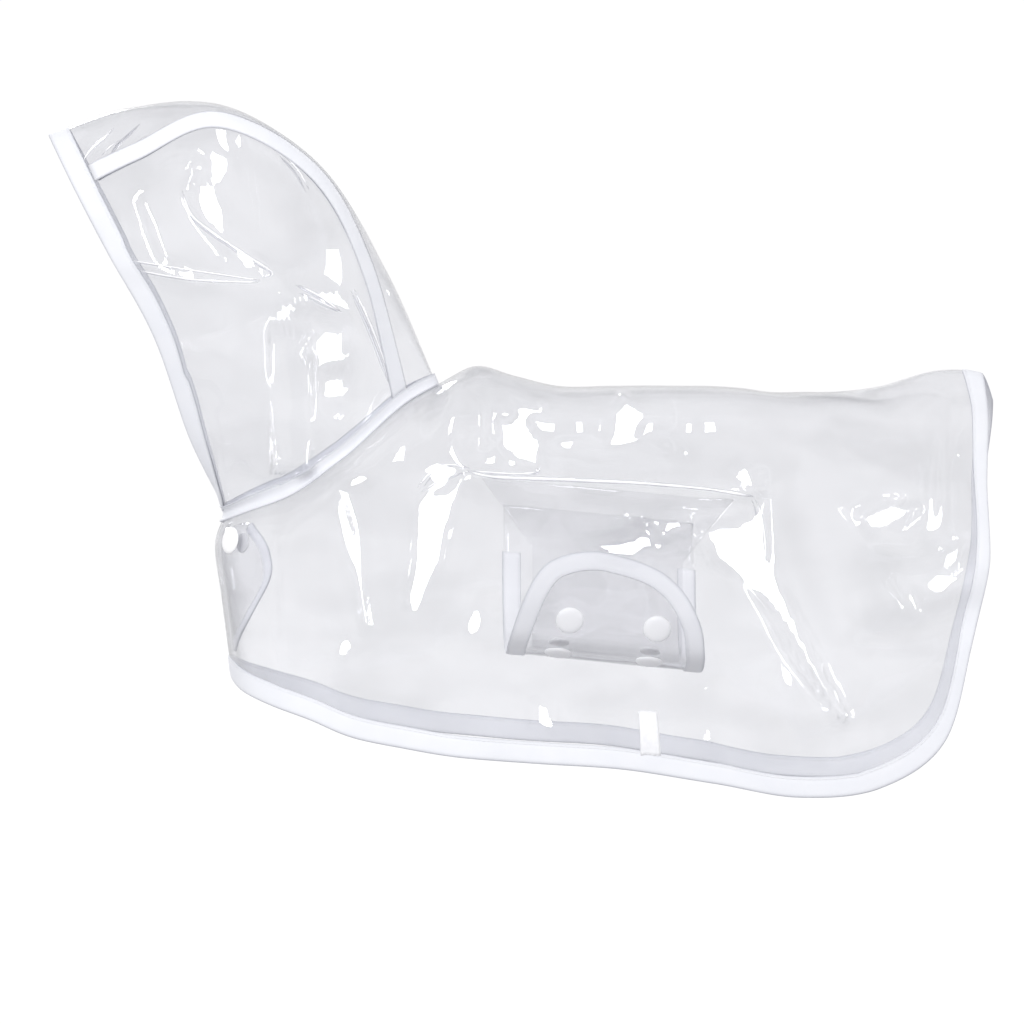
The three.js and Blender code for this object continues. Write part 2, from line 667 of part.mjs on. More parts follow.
// Tape folded round the strap's edge: up one side from the far turn, round the arch and back.
function bellyStrapTape() {
  const lengths = [0];
  const cuts = [strapCut(0)];
  for (let i = 1; i <= strapRows; i += 1) {
    const cut = strapCut(i / strapSteps);
    const before = cuts.at(-1);
    lengths.push(lengths.at(-1) + Math.hypot(cut.y - before.y, cut.z - before.z));
    cuts.push(cut);
  }
  const place = (flat) => {
    let i = 0;
    while (i + 2 < lengths.length && lengths[i + 1] < flat.y) {
      i += 1;
    }
    const share = (flat.y - lengths[i]) / (lengths[i + 1] - lengths[i]);
    const lower = strapPoint(cuts[i], flat.x, 0);
    const upper = strapPoint(cuts[i + 1], flat.x, 0);
    const between = THREE.MathUtils.clamp(share, 0, 1);
    const normal = cuts[i].normal.clone().lerp(cuts[i + 1].normal, between).normalize();
    return { point: lower.lerp(upper, share), normal };
  };
  const end = strapRows - 1;
  const outline = [];
  for (let i = end; i >= 0; i -= 1) {
    outline.push(new THREE.Vector2(cuts[i].left, lengths[i]));
  }
  const [left, right] = [cuts[0].left, cuts[0].right];
  outline.push(new THREE.Vector2((left + right) / 2, lengths[0]));
  for (let i = 0; i <= end; i += 1) {
    outline.push(new THREE.Vector2(cuts[i].right, lengths[i]));
  }
  const stations = outline.map((flat, k) => {
    const ahead = outline[Math.min(k + 1, outline.length - 1)];
    const behind = outline[Math.max(k - 1, 0)];
    const run = ahead.clone().sub(behind).normalize();
    const border = new THREE.Vector2(flat.x - run.y * strapTape, flat.y + run.x * strapTape);
    return { edge: place(flat), border: place(border) };
  });
  return mesh('belly_strap_tape', foldedTape(stations, strapTapeGap), whiteTape);
}

// The tab's upper edge lies inside the near panel; from the arch on it follows the strap's inner face.
function bellyTab() {
  const spread = (half) => fractions(tab.columns).map((u) => tab.centre + half * (2 * u - 1));
  const top = spread(tab.seamHalf).map((x) => {
    const panel = sideAt(body.near, x, tab.seamZ + strapTilt * x);
    return { point: moved(panel.point, panel.normal, -tab.depth), normal: panel.normal };
  });
  const lower = (i) => {
    const cut = strapCut(i / strapSteps);
    return spread(tab.bodyHalf).map((x) => ({ point: strapPoint(cut, x, tabDepth), normal: cut.normal }));
  };
  const joint = lower(0);
  const rows = [];
  for (let k = 0; k < tab.rise; k += 1) {
    const share = k / tab.rise;
    rows.push(top.map((item, u) => ({
      point: item.point.clone().lerp(joint[u].point, share),
      normal: item.normal.clone().lerp(joint[u].normal, share).normalize(),
    })));
  }
  for (let i = 0; i <= tab.end * strapSteps; i += 1) {
    rows.push(lower(i));
  }
  const surface = {
    points: rows.map((row) => row.map((item) => item.point)),
    normals: rows.map((row) => row.map((item) => item.normal)),
  };
  return mesh('belly_tab', wall(surface.points, offsetGrid(surface, -film)), clearFilm);
}

// Depth of the chest flap below the panel's outer face: just inside the far half at its root,
// and deep enough past the opening for its own tape to pass inside the near half.
function flapDepth(section) {
  const throat = bodySections.length - 1;
  const share = THREE.MathUtils.clamp((throat + chestFlap.root - section) / chestFlap.root, 0, 1);
  return film + seamGap + share * (binding + 2 * seamGap);
}

const flapLine = chestFlap.outline.map(([section, distance]) => new THREE.Vector3(section, distance, 0));
const flapGuided = [
  flapLine[0].clone().multiplyScalar(2).sub(flapLine[1]),
  ...flapLine,
  flapLine.at(-1).clone().multiplyScalar(2).sub(flapLine.at(-2)),
];

// A place on the way from the middle of the root (0) out to the outline (1).
function flapPlace(position, reach) {
  const [middleSection, middleDistance] = chestFlap.centre;
  const edge = along(flapGuided, position);
  const section = THREE.MathUtils.lerp(middleSection, edge.x, reach);
  const distance = THREE.MathUtils.lerp(middleDistance, edge.y, reach);
  const { point, normal } = surfaceAt(body, section, distance);
  return { point: moved(point, normal, -flapDepth(section)), normal };
}

// Rays of the flap from its outline in to the middle of its root, from the hem end up.
function flapRays() {
  return fractions(chestFlap.steps).map((u) => {
    const position = u * (flapLine.length - 1);
    const edge = flapPlace(position, 1);
    const inner = chestFlap.rings.map((reach) => flapPlace(position, reach));
    const share = chestFlap.tape / edge.point.distanceTo(inner[0].point);
    const border = {
      point: edge.point.clone().lerp(inner[0].point, share),
      normal: edge.normal.clone().lerp(inner[0].normal, share).normalize(),
    };
    return [edge, border, ...inner];
  });
}

function chestFlapPiece(rays) {
  const surface = {
    points: rays.map((ray) => ray.map((item) => item.point)),
    normals: rays.map((ray) => ray.map((item) => item.normal)),
  };
  return mesh('chest_flap', wall(surface.points, offsetGrid(surface, -film)), clearFilm);
}

// Tape folded round the flap's curved edge, from its hem end up to the neck seam.
function chestFlapTape(rays) {
  const bound = rays.slice(chestFlap.tapeFirst, chestFlap.tapeEnd);
  const stations = bound.map(([edge, border]) => ({ edge, border }));
  return mesh('chest_flap_tape', foldedTape(stations.reverse()), whiteTape);
}

// A shape turned about its own axis, from an outline in shares of its radius and height.
function turned(outline, radius, height) {
  const profile = outline.map(([x, y]) => new THREE.Vector2(x * radius, y * height));
  return new THREE.LatheGeometry(profile, snap.facets);
}

const capShape = () => turned(capOutline, snap.cap / 2, snap.capHeight);
const socketShape = () => turned(socketOutline, snap.socket / 2, snap.socketHeight);

function seated(name, shape, point, normal) {
  const item = mesh(name, shape, whitePlastic);
  item.position.copy(point);
  item.quaternion.setFromUnitVectors(new THREE.Vector3(0, 1, 0), normal);
  return item;
}

function bellySnapPieces() {
  const under = tabDepth + film + snap.seat;
  return bellySnaps.flatMap(({ name, x, section }) => {
    const cut = strapCut(section);
    const outside = strapPoint(cut, x, -seamGap);
    const inside = strapPoint(cut, x, under);
    return [
      seated(name, capShape(), outside, cut.normal),
      seated(`${name}_socket`, socketShape(), inside, cut.normal.clone().negate()),
    ];
  });
}

function chestSnapPieces() {
  const { point, normal } = surfaceAt(body, chestSnap.section, chestSnap.drop);
  const inward = -(flapDepth(chestSnap.section) + film + chestSnap.seat);
  return [
    seated('chest_snap', capShape(), moved(point, normal, chestSnap.lift), normal),
    seated('chest_snap_socket', socketShape(), moved(point, normal, inward), normal.clone().negate()),
  ];
}

// A blank folded label that stands up from the hem tape on the outside of the near half.
function hemLabel() {
  const rowLength = (section) => {
    const row = body.near.points[Math.round(section * stepsPerSection)];
    return row.slice(1).reduce((sum, p, j) => sum + p.distanceTo(row[j]), 0);
  };
  const foot = rowLength(label.section) - tapeWidth - label.clear;
  const rows = fractions(label.steps).map((u) => fractions(2).map((v) => {
    const section = label.section + label.width * (v - 0.5);
    return surfaceAt(body, section, foot - label.height * u);
  }));
  return mesh('hem_label', flatTape(rows, seamGap, label.wall), whiteSatin);
}

const strap = strapSurface();
const flap = flapRays();
const coat = new THREE.Group();
coat.position.z = film;
coat.add(
  bodyPanel(),
  ...hoodPanels(),
  hoodEdgeTape(),
  crownTape('crown_tape_near', hood.near, false),
  crownTape('crown_tape_far', hood.far, true),
  neckTape(),
  hemTape(),
  bellyStrap(strap),
  bellyStrapTape(),
  bellyTab(),
  ...bellySnapPieces(),
  chestFlapPiece(flap),
  chestFlapTape(flap),
  ...chestSnapPieces(),
  hemLabel(),
);
export default coat;
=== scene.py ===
# Clear hooded raincoat with white folded binding, in its worn shape, hollow.
# Sizes are in millimetres until a mesh is made. +X runs to the tail, +Y to the far side, +Z up.
import math
import bpy
import bmesh
from mathutils import Matrix, Vector, kdtree, noise


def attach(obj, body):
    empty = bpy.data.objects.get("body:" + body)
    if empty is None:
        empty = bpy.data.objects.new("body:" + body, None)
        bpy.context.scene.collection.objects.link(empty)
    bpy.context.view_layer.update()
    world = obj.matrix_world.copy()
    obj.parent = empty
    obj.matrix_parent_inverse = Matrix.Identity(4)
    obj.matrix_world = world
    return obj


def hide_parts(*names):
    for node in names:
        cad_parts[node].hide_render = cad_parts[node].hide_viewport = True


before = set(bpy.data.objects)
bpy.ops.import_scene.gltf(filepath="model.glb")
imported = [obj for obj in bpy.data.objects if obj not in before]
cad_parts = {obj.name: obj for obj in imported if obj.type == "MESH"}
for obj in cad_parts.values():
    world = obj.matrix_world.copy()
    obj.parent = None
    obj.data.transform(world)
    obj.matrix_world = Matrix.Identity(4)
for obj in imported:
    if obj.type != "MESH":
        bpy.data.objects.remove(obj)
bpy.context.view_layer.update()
print("frame loaded:", len(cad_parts), "solids")

metre = 0.001               # metres in a millimetre
coat = {
    "wall": 1.0,            # wall of the film's solids, whose outer face the tables give
    "film": 0.4,            # thickness of the film here
    "filmDepth": 0.5,       # middle of the film below the solid's outer face
    "binding": 1.0,         # one layer of binding in the solids
    "tape": 0.45,           # thickness of the binding here
    "seamGap": 0.3,
    "tapeWidth": 10.0,      # folded binding along the free edges
    "neckLap": 5.0,         # half width of the tape over the neck seam
    "crownLap": 5.0,
    "tuckedIn": 1.5,        # how far a crown tape goes under the tapes at its ends
    "slitHalf": 0.6,        # half the opening between the two chest edges
    "centreFade": 12,       # distance from the centre plane over which folds come in
    "stepsPerSection": 14,
    "bodyColumns": 80,
    "hoodColumns": 72,
}


def named(columns, rows):    # a table's rows as dictionaries
    return [dict(zip(columns, row)) for row in rows]


bodySections = named(("name", "top", "shoulder", "side", "hem"), [
    ("tail", (150, 0, 3), (164, 0, 7), (178, 0, 8), (190, 0, 6)),
    ("tail 1", (140, 0, 0), (159, -12, 1), (177, -18, -4), (191, -20, -14)),
    ("tail 2", (128, 0, -2), (146, -20, -7), (167, -31, -21), (189, -36, -46)),
    ("tail 3", (114, 0, -3), (130, -27, -10), (158, -42, -43), (189, -47, -85)),
    ("rump 1", (100, 0, -3), (114, -32, -14), (147, -49, -65), (180, -54, -126)),
    ("rump 2", (85, 0, -3), (97, -36, -15), (129, -53, -84), (166, -60, -173)),
    ("rump 3", (70, 0, -1), (78, -38, -15), (102, -55, -91), (134, -65, -195)),
    ("flank 1", (53, 0, 0), (57, -40, -15), (73, -55, -89), (94, -67, -199)),
    ("flank 2", (30, 0, 0), (31, -40, -15), (39, -54, -84), (53, -68, -192)),
    ("flank 3", (5, 0, 0), (4, -40, -15), (5, -53, -81), (9, -68, -185)),
    ("flank 4", (-20, 0, 0), (-24, -39, -15), (-30, -53, -79), (-33, -68, -182)),
    ("ribs 1", (-42, 0, 5), (-49, -38, -12), (-61, -54, -76), (-71, -68, -179)),
    ("ribs 2", (-62, 0, 10), (-71, -37, -8), (-86, -55, -74), (-101, -67, -174)),
    ("nape", (-81, 0, 1), (-88, -36, -16), (-105, -56, -71), (-125, -64, -169)),
    ("neck 1", (-99, -16, -8), (-105, -42, -28), (-125, -55, -74), (-145, -58, -161)),
    ("neck 2", (-125, -32, -30), (-132, -48, -50), (-147, -51, -84), (-163, -48, -155)),
    ("neck 3", (-149, -34, -47), (-158, -43, -67), (-169, -41, -96), (-176, -33, -150)),
    ("neck 4", (-172, -22, -57), (-180, -27, -75), (-181, -24, -103), (-182, -17, -146)),
    ("throat", (-187, 0, -63), (-192, 0, -79), (-189, 0, -104), (-184, 0, -144)),
])
napeRow = 13                # the row where the back line ends and the neck seam starts

hoodSections = named(("name", "edge", "brow", "top", "back", "nape", "neck"), [
    ("crown", (-273, 0, 125), (-234, 0, 138), (-188, 0, 139), (-140, 0, 109), (-107, 0, 59), (-81, 0, 1)),
    ("crown seam", (-261, -29, 101), (-230, -32, 116), (-190, -34, 132), (-144, -33, 108),
     (-117, -29, 61), (-99, -16, -8)),
    ("temple", (-244, -37, 68), (-212, -45, 80), (-180, -48, 75), (-154, -49, 48), (-137, -43, 9),
     (-125, -32, -30)),
    ("cheek", (-221, -37, 26), (-200, -44, 26), (-181, -48, 19), (-166, -47, -1), (-157, -41, -25),
     (-149, -34, -47)),
    ("jaw", (-204, -25, -24), (-196, -29, -27), (-189, -31, -34), (-182, -29, -41), (-177, -26, -50),
     (-172, -22, -57)),
    ("throat", (-190, -6, -54), (-189.5, -5.5, -56), (-189, -5, -58), (-188.5, -4.5, -60),
     (-188, -4, -61.5), (-187, -2, -63)),
])
crownSeamRow = 1

# The far half hangs a little further back and lower towards the tail: from one x to another.
farSweep = {"start": 60, "end": 180, "back": 6, "drop": 5}

# Folds that the solids have too, and the finer creases of the film. Lines are [x, z] as seen from the near
# side, reach is the half width, height is + for a ridge, far is how much of it the far side shows.
foldColumns = ("name", "start", "end", "reach", "height", "far")
bodyFolds = named(foldColumns, [
    ("long crease", (-69, -40), (74, -53), 9, 1.6, 0.7),
    ("shoulder drape", (-69, -40), (-98, -108), 13, 1.6, 0.8),
    ("haunch drape", (74, -53), (114, -160), 14, 3.4, 0.9),
    ("chest drape", (-128, -48), (-116, -115), 9, 2.2, 0.7),
    ("behind the neck", (-63, 6), (-63, -30), 8, -2.6, 1),
    ("tail drape", (176, -6), (168, -70), 9, -3.0, 0.9),
    ("rear bulge", (188, -88), (140, -100), 12, 2.8, 0.8),
    ("rear pull", (178, -112), (134, -124), 11, -2.4, 0.6),
    ("hem wave 1", (30, -130), (36, -190), 16, -2.2, 0.7),
    ("hem wave 2", (-52, -120), (-62, -176), 16, 2.0, 1.2),
    ("hem wave 3", (120, -150), (140, -190), 14, -2.0, 0.8),
])
hoodFolds = named(foldColumns, [
    ("cheek crease", (-232, 62), (-163, 50), 8, 1.8, 0.8),
    ("temple crease", (-205, 94), (-162, 56), 8, -0.8, 0.7),
    ("nape crease", (-158, 50), (-127, 38), 8, 1.6, 0.8),
    ("collar crease", (-134, 31), (-131, -8), 8, -1.6, 0.9),
])
creaseColumns = ("start", "end", "reach", "height", "bow", "far")
bodyCreases = named(creaseColumns, [
    ((-60, -38), (-5, -46), 6, -0.5, -3, 0.8),
    ((-60, -52), (-78, -126), 8, -1.0, 5, 0.7),
    ((-112, -62), (-106, -126), 7, -0.5, -3, 1.1),
    ((-131, -120), (-136, -158), 8, 0.9, 3, 0.8),
    ((70, -100), (84, -150), 8, -1.2, 6, 0.9),
    ((80, -57), (100, -30), 5, -0.7, -3, 1.0),
    ((-63, 8), (-62, -31), 3.2, -1.6, 2, 1.0),
    ((-52, 2), (-57, -30), 4, 0.6, -2, 0.8),
    ((104, -8), (150, -42), 7, 0.9, -5, 0.8),
    ((152, 2), (160, -66), 6, 1.0, 3, 1.1),
    ((182, 2), (178, -58), 5, 1.2, -2, 0.7),
    ((186, -82), (122, -72), 5, -0.9, 4, 0.8),
    ((186, -98), (130, -110), 4.5, 0.9, -3, 0.9),
    ((172, -134), (128, -132), 6, 0.8, 3, 0.7),
    ((-20, -106), (-28, -170), 9, -0.9, 3, 0.8),
    ((-14, -4), (-15, -33), 7, 1.2, 2, 0.8),
    ((40, -8), (34, -34), 8, -1.2, 3, 0.8),
    ((12, -140), (4, -176), 10, 1.0, 2, 1.1),
    ((62, -120), (58, -186), 9, 1.0, -3, 0.8),
    ((98, -150), (104, -188), 7, 0.9, 2, 0.9),
    ((-88, -130), (-92, -166), 8, -0.9, -3, 1.0),
    ((-152, -60), (-160, -120), 6, 1.1, -2, 0.9),
    ((-176, -72), (-172, -128), 5, -1.0, 2, 1.0),
    ((-183, -80), (-179, -136), 3.5, 0.8, -1, 1.1),
])
hoodCreases = named(creaseColumns, [
    ((-146, 30), (-142, -8), 5, 0.9, -4, 0.9),
    ((-252, 95), (-232, 72), 5, -0.8, 3, 0.9),
    ((-222, 84), (-238, 66), 5, 0.7, -3, 0.7),
    ((-212, 18), (-176, 12), 5, 0.7, 3, 0.8),
    ((-204, -6), (-172, -18), 4, -0.6, -2, 0.9),
    ((-256, 110), (-240, 132), 5, 0.8, 2, 1.0),
])

# Flats that the pulled film takes between its creases: the corners of each, and which way it faces, turned
# towards the tail and tilted up, in degrees.
flatColumns = ("name", "turn", "tilt", "far", "corners")
bodyFlats = named(flatColumns, [
    ("shoulder", -10, 9, 0.8, [(-69, -42), (-77, -50), (-92, -57), (-93, -73), (-94, -90), (-98, -104),
     (-95, -107), (-88, -96), (-81, -84), (-78, -68)]),
    ("haunch", -13, 10, 0.9, [(46, -66), (62, -67), (78, -57), (79, -86), (88, -102), (100, -128),
     (116, -161), (100, -140), (88, -118), (78, -104), (66, -92), (54, -84)]),
    ("chest", -9, 10, 0.7, [(-131, -50), (-126, -64), (-120, -80), (-119, -98), (-117, -116),
     (-121, -98), (-124, -82)]),
    ("belly", -2, 27, 0.7, [(-10, -78), (0, -74), (12, -73), (19, -68), (25, -72), (30, -80), (20, -79),
     (14, -84), (2, -82)]),
    ("belly link", -3, 27, 0.6, [(26, -69), (50, -60), (78, -54), (78, -56.5), (50, -64), (28, -73)]),
    ("withers", -1, 26, 0.9, [(-41, -8), (-28, -9), (-40, -13), (-34, -24), (-32, -38), (-44, -36),
     (-47, -30), (-52, -17), (-43, -16)]),
    ("back", -2, 26, 0.7, [(10, -4), (20, -12), (15, -22), (2, -28), (5, -16)]),
    ("tail upper", 23.5, 6, 0.9, [(125, -62), (136, -58), (154, -59), (146, -66), (130, -70)]),
    ("tail edge", 23, 6.5, 0.9, [(167, -80), (175, -77), (174, -86), (168, -91)]),
    ("tail lower", 23, 7, 0.9, [(148, -101), (152, -100), (157, -110), (155, -113), (149, -107)]),
    ("hem", -10, 12, 0.8, [(-37, -153), (-26, -155), (-24, -166), (-36, -163)]),
])
hoodFlats = named(flatColumns, [
    ("crown", -7, 10, 0.8, [(-196, 112), (-188, 117), (-182, 113), (-184, 106), (-190, 103), (-197, 107)]),
    ("crown corner", 3, 23, 0.8, [(-184, 118), (-176, 126), (-176, 116)]),
    ("temple", -7, 8, 0.8, [(-205, 92), (-198, 84), (-181, 71), (-166, 60), (-182, 66), (-199, 78)]),
    ("cheek", 21, 4, 0.9, [(-163, 26), (-145, 24), (-145, -40), (-162, -40)]),
    ("side", 27, 4, 0.9, [(-146, 17), (-136, 30), (-126, 30), (-129, 12), (-138, 12)]),
    ("collar", 27, 3, 0.9, [(-138, 5), (-127, 7), (-128, -6), (-135, -6)]),
    ("brow", -20, -2, 0.9, [(-226, 92), (-214, 112), (-200, 112), (-207, 96), (-200, 80), (-186, 64),
     (-200, 58), (-216, 64)]),
    ("star", -7.6, 9, 0.9, [(-167, 46), (-160, 50), (-150, 42), (-159, 45)]),
])
flatEdge = 3.5              # width over which a flat joins the film round it
flatShare = 0.94

# Sharp pinched folds, thin lines across the film: points [x, z] along each
pinchColumns = ("width", "points")
bodyPinches = named(pinchColumns, [
    (1.0, [(-68, -40), (-54, -43), (-20, -44.5), (15, -46), (45, -48.5), (60, -50.5), (73, -53)]),
    (0.7, [(-92, -48), (-87, -42), (-80, -37.5), (-74, -37), (-68.5, -38.5)]),
    (0.5, [(-90, -50), (-80, -44), (-70, -40.5)]),
    (0.6, [(-33, -38), (-35, -41), (-45, -41.5), (-66, -40)]),
    (0.6, [(74, -55), (76, -60), (78, -72), (78.5, -86)]),
])
hoodPinches = named(pinchColumns, [
    (0.5, [(-233, 63), (-216, 60.5), (-200, 58), (-169, 53.5)]),
    (0.7, [(-229, 58), (-208, 54.5), (-190, 53), (-169, 52.5)]),
    (0.9, [(-207, 97), (-204, 88), (-198.5, 81.5), (-179.5, 68), (-165, 59), (-162.5, 56.5), (-166, 55)]),
    (0.8, [(-150, 51), (-139, 45), (-129, 37.5)]),
    (0.6, [(-148, 47), (-137, 41.5), (-130, 38)]),
    (0.8, [(-122.5, 48.5), (-115, 32), (-110, 19.5), (-104, 3)]),
    (0.7, [(-158, 116), (-150, 107), (-145, 98)]),
])
gussetPinches = named(pinchColumns, [
    (0.9, [(-257, 110), (-252.5, 117), (-245, 124), (-241, 128)]),
    (0.5, [(-247, 114.5), (-243, 118.5), (-238, 122)]),
])


def curvePoint(before, start, end, after, t):    # Catmull-Rom
    linear = (end - before) * t
    square = (2 * before - 5 * start + 4 * end - after) * t * t
    cube = (3 * start - before - 3 * end + after) * t * t * t
    return start + (linear + square + cube) / 2


def along(points, position):
    index = min(int(position), len(points) - 4)
    return curvePoint(*points[index:index + 4], position - index)


def clamp(value, low=0.0, high=1.0):
    return max(low, min(high, value))


def spaced(points, distancesFor, samples=160):   # points at given distances along a smooth line
    spans = len(points) - 3
    trail = [along(points, spans * k / samples) for k in range(samples + 1)]
    lengths = [0.0]
    for a, b in zip(trail, trail[1:]):
        lengths.append(lengths[-1] + (b - a).length)
    placed = []
    k = 1
    for distance in distancesFor(lengths[-1]):
        while k < samples and lengths[k] < distance:
            k += 1
        share = (distance - lengths[k - 1]) / max(lengths[k] - lengths[k - 1], 1e-9)
        placed.append(trail[k - 1].lerp(trail[k], clamp(share)))
    return placed


def mirrored(point):
    return Vector((point.x, -point.y, point.z))


def swept(point):    # a point of the far half, moved back and down towards the tail
    share = clamp((point.x - farSweep["start"]) / (farSweep["end"] - farSweep["start"]))
    fade = share * share * (3 - 2 * share) * min(1, abs(point.y) / coat["centreFade"])
    return Vector((point.x + farSweep["back"] * fade, point.y, point.z - farSweep["drop"] * fade))


def mirroredEnds(points):
    return [mirrored(points[1]), *points, mirrored(points[-2])]


neckSeam = mirroredEnds([Vector(section["neck"]) for section in hoodSections])


film = {
    "waveSize": 46, "waveHeight": 0.75,       # slow waves of the film
    "rippleSize": 17, "rippleHeight": 0.16,   # small ones between them
    "creaseTaper": 0.22,                      # share of a crease over which each end fades
    "creaseEnd": 0.1,                         # what is left of it at its very end
    "uneven": 0.5, "unevenSize": 17,          # how its height wavers along it
}


def foldHeight(point, fold, isFar, taper=0.0):   # bell-shaped ridge or trough along a line
    x0, z0 = fold["start"]
    dx, dz = fold["end"][0] - x0, fold["end"][1] - z0
    length = math.hypot(dx, dz)
    inside = clamp(((point.x - x0) * dx + (point.z - z0) * dz) / length ** 2)
    bow = fold.get("bow", 0) * 4 * inside * (1 - inside)
    offX = point.x - x0 - dx * inside + dz / length * bow
    offZ = point.z - z0 - dz * inside - dx / length * bow
    away = math.hypot(offX, offZ) / fold["reach"]
    if away > 3:
        return 0.0
    fade = 1.0
    if taper:
        fade = clamp(min(inside, 1 - inside) / taper + film["creaseEnd"])
        unevenness = noise.noise(Vector((point.x, point.z, x0)) / film["unevenSize"])
        fade *= 1 + film["uneven"] * unevenness
    return fold["height"] * (fold["far"] if isFar else 1) * fade * math.exp(-away * away)


def filmHeight(point, folds, creases, isFar):
    centre = min(1.0, abs(point.y) / coat["centreFade"])
    depth = sum(foldHeight(point, fold, isFar) for fold in folds)
    depth += sum(foldHeight(point, crease, isFar, film["creaseTaper"]) for crease in creases)
    stretched = Vector((point.x, point.y, point.z * 0.7))
    depth += film["waveHeight"] * noise.noise(stretched / film["waveSize"])
    ripple = film["rippleHeight"] * noise.noise(stretched / film["rippleSize"] + Vector((7, 3, 1)))
    return (depth + ripple) * centre


def flatShareAt(point, corners):    # 1 inside the corners, fading out past their edges
    inside = False
    nearest = 1e9
    for (ax, az), (bx, bz) in zip(corners, corners[1:] + corners[:1]):
        dx, dz = bx - ax, bz - az
        t = clamp(((point.x - ax) * dx + (point.z - az) * dz) / (dx * dx + dz * dz))
        nearest = min(nearest, math.hypot(point.x - ax - dx * t, point.z - az - dz * t))
        if (az > point.z) != (bz > point.z) and point.x < ax + dx * (point.z - az) / dz:
            inside = not inside
    if inside:
        return 1.0
    left = clamp(1 - nearest / flatEdge)
    return left * left * (3 - 2 * left)


def layFlats(points, flats, isFar):
    for flat in flats:
        corners = flat["corners"]
        x, z = (sum(c[k] for c in corners) / len(corners) for k in (0, 1))
        reach = max(math.hypot(cx - x, cz - z) for cx, cz in corners) + flatEdge
        close = [p for row in points for p in row if math.hypot(p.x - x, p.z - z) < reach]
        held = [p for p in close if flatShareAt(p, corners) == 1]
        if not held:
            continue
        x, y, z = (sum(p[k] for p in held) / len(held) for k in (0, 1, 2))
        turn, tilt = math.radians(flat["turn"]), math.radians(flat["tilt"])
        slopeX = math.tan(turn)
        slopeZ = math.tan(tilt) / math.cos(turn)
        for p in close:
            share = flatShareAt(p, corners) * flatShare * (flat["far"] if isFar else 1)
            level = (p.x - x) * slopeX + (p.z - z) * slopeZ
            p.y += (y + (-level if isFar else level) - p.y) * share


def gridNormals(points, flip):
    normals = [[Vector() for _ in row] for row in points]
    for i in range(len(points) - 1):
        for j in range(len(points[0]) - 1):
            a, b, c, d = points[i][j], points[i + 1][j], points[i + 1][j + 1], points[i][j + 1]
            face = (c - a).cross(d - b) * flip
            for r, s in ((i, j), (i + 1, j), (i + 1, j + 1), (i, j + 1)):
                normals[r][s] += face
    for row, placed in zip(normals, points):
        for normal, point in zip(row, placed):
            if abs(point.y) < 0.001:
                normal.y = 0
            normal.normalize()
    return normals


def halves(sections, columns, seamRows, shorten, across, folds, creases, flats):
    rows = [[Vector(section[name]) for name in columns] for section in sections]
    guided = [mirroredEnds([row[c] for row in rows]) for c in range(len(columns))]
    steps = coat["stepsPerSection"]
    near = []
    for i in range((len(rows) - 1) * steps + 1):
        position = i / steps
        cut = [along(line, position) for line in guided]
        if position <= seamRows:
            cut[0].y = 0
        elif seamRows > 0:
            cut[0] = along(neckSeam, position - seamRows)
        if i == 0:
            for point in cut:
                point.y = 0
        level = clamp((position - seamRows) / 2) if seamRows >= 0 else 1
        guide = mirrored(cut[1]).lerp(2 * cut[0] - cut[1], level)
        end = 2 * cut[-1] - cut[-2]
        near.append(spaced([guide, *cut, end],
                           lambda length: [(length - shorten) * k / across for k in range(across + 1)]))
    made = {}
    for name, flip, isFar in (("near", 1, False), ("far", -1, True)):
        points = [[swept(mirrored(p)) if isFar else p.copy() for p in row] for row in near]
        normals = gridNormals(points, flip)
        for row, directions in zip(points, normals):
            for point, direction in zip(row, directions):
                if abs(point.y) > 0.001:
                    point += direction * filmHeight(point, folds, creases, isFar)
        layFlats(points, flats, isFar)
        made[name] = {"points": points, "normals": gridNormals(points, flip)}
        for point in points[-1]:
            point.y += coat["slitHalf"] * -flip
    return made


def joined(both, first, last):    # far half's rows over the centre row to the near half's
    far = [both["far"][key][first + 1:last + 1][::-1] for key in ("points", "normals")]
    near = [both["near"][key][first:last + 1] for key in ("points", "normals")]
    return {"points": far[0] + near[0], "normals": far[1] + near[1]}


def rowLength(points):
    return sum((b - a).length for a, b in zip(points, points[1:]))


def onRow(surface, i, distance):    # point and normal at a distance down row i, negative from its end
    points, normals = surface["points"][i], surface["normals"][i]
    length = rowLength(points)
    if distance < 0:
        distance += length
    place = distance / length * (len(points) - 1)
    j = int(clamp(place, 0, len(points) - 2))
    share = place - j
    normal = normals[j].lerp(normals[j + 1], clamp(share)).normalized()
    return points[j] + (points[j + 1] - points[j]) * share, normal


def onSurface(both, section, distance):    # section may be fractional, and past the last one on the far half
    steps = coat["stepsPerSection"]
    last = (len(both["near"]["points"]) - 1) / steps
    half = both["far"] if section > last else both["near"]
    index = (2 * last - section if section > last else section) * steps
    first = int(min(index, len(half["points"]) - 2))
    (a, m), (b, n) = onRow(half, first, distance), onRow(half, first + 1, distance)
    return a.lerp(b, index - first), m.lerp(n, index - first).normalized()


def extendedEnds(points):
    return [2 * points[0] - points[1], *points, 2 * points[-1] - points[-2]]


def sideAt(surface, x, z):    # the point of one side at x and z, blended from the nearest ones
    if "tree" not in surface:
        surface["flat"] = [pair for row in zip(surface["points"], surface["normals"]) for pair in zip(*row)]
        surface["tree"] = kdtree.KDTree(len(surface["flat"]))
        for index, (point, _) in enumerate(surface["flat"]):
            surface["tree"].insert((point.x, point.z, 0), index)
        surface["tree"].balance()
    found = surface["tree"].find_n((x, z, 0), 8)
    reach = found[-1][2]
    y, total, normal = 0.0, 0.0, Vector()
    for _, index, away in found:
        point, direction = surface["flat"][index]
        weight = (1 - away / reach) ** 2 + 1e-6
        y += weight * (point.y - ((x - point.x) * direction.x + (z - point.z) * direction.z) / direction.y)
        normal += direction * weight
        total += weight
    return Vector((x, y / total, z)), normal.normalized()


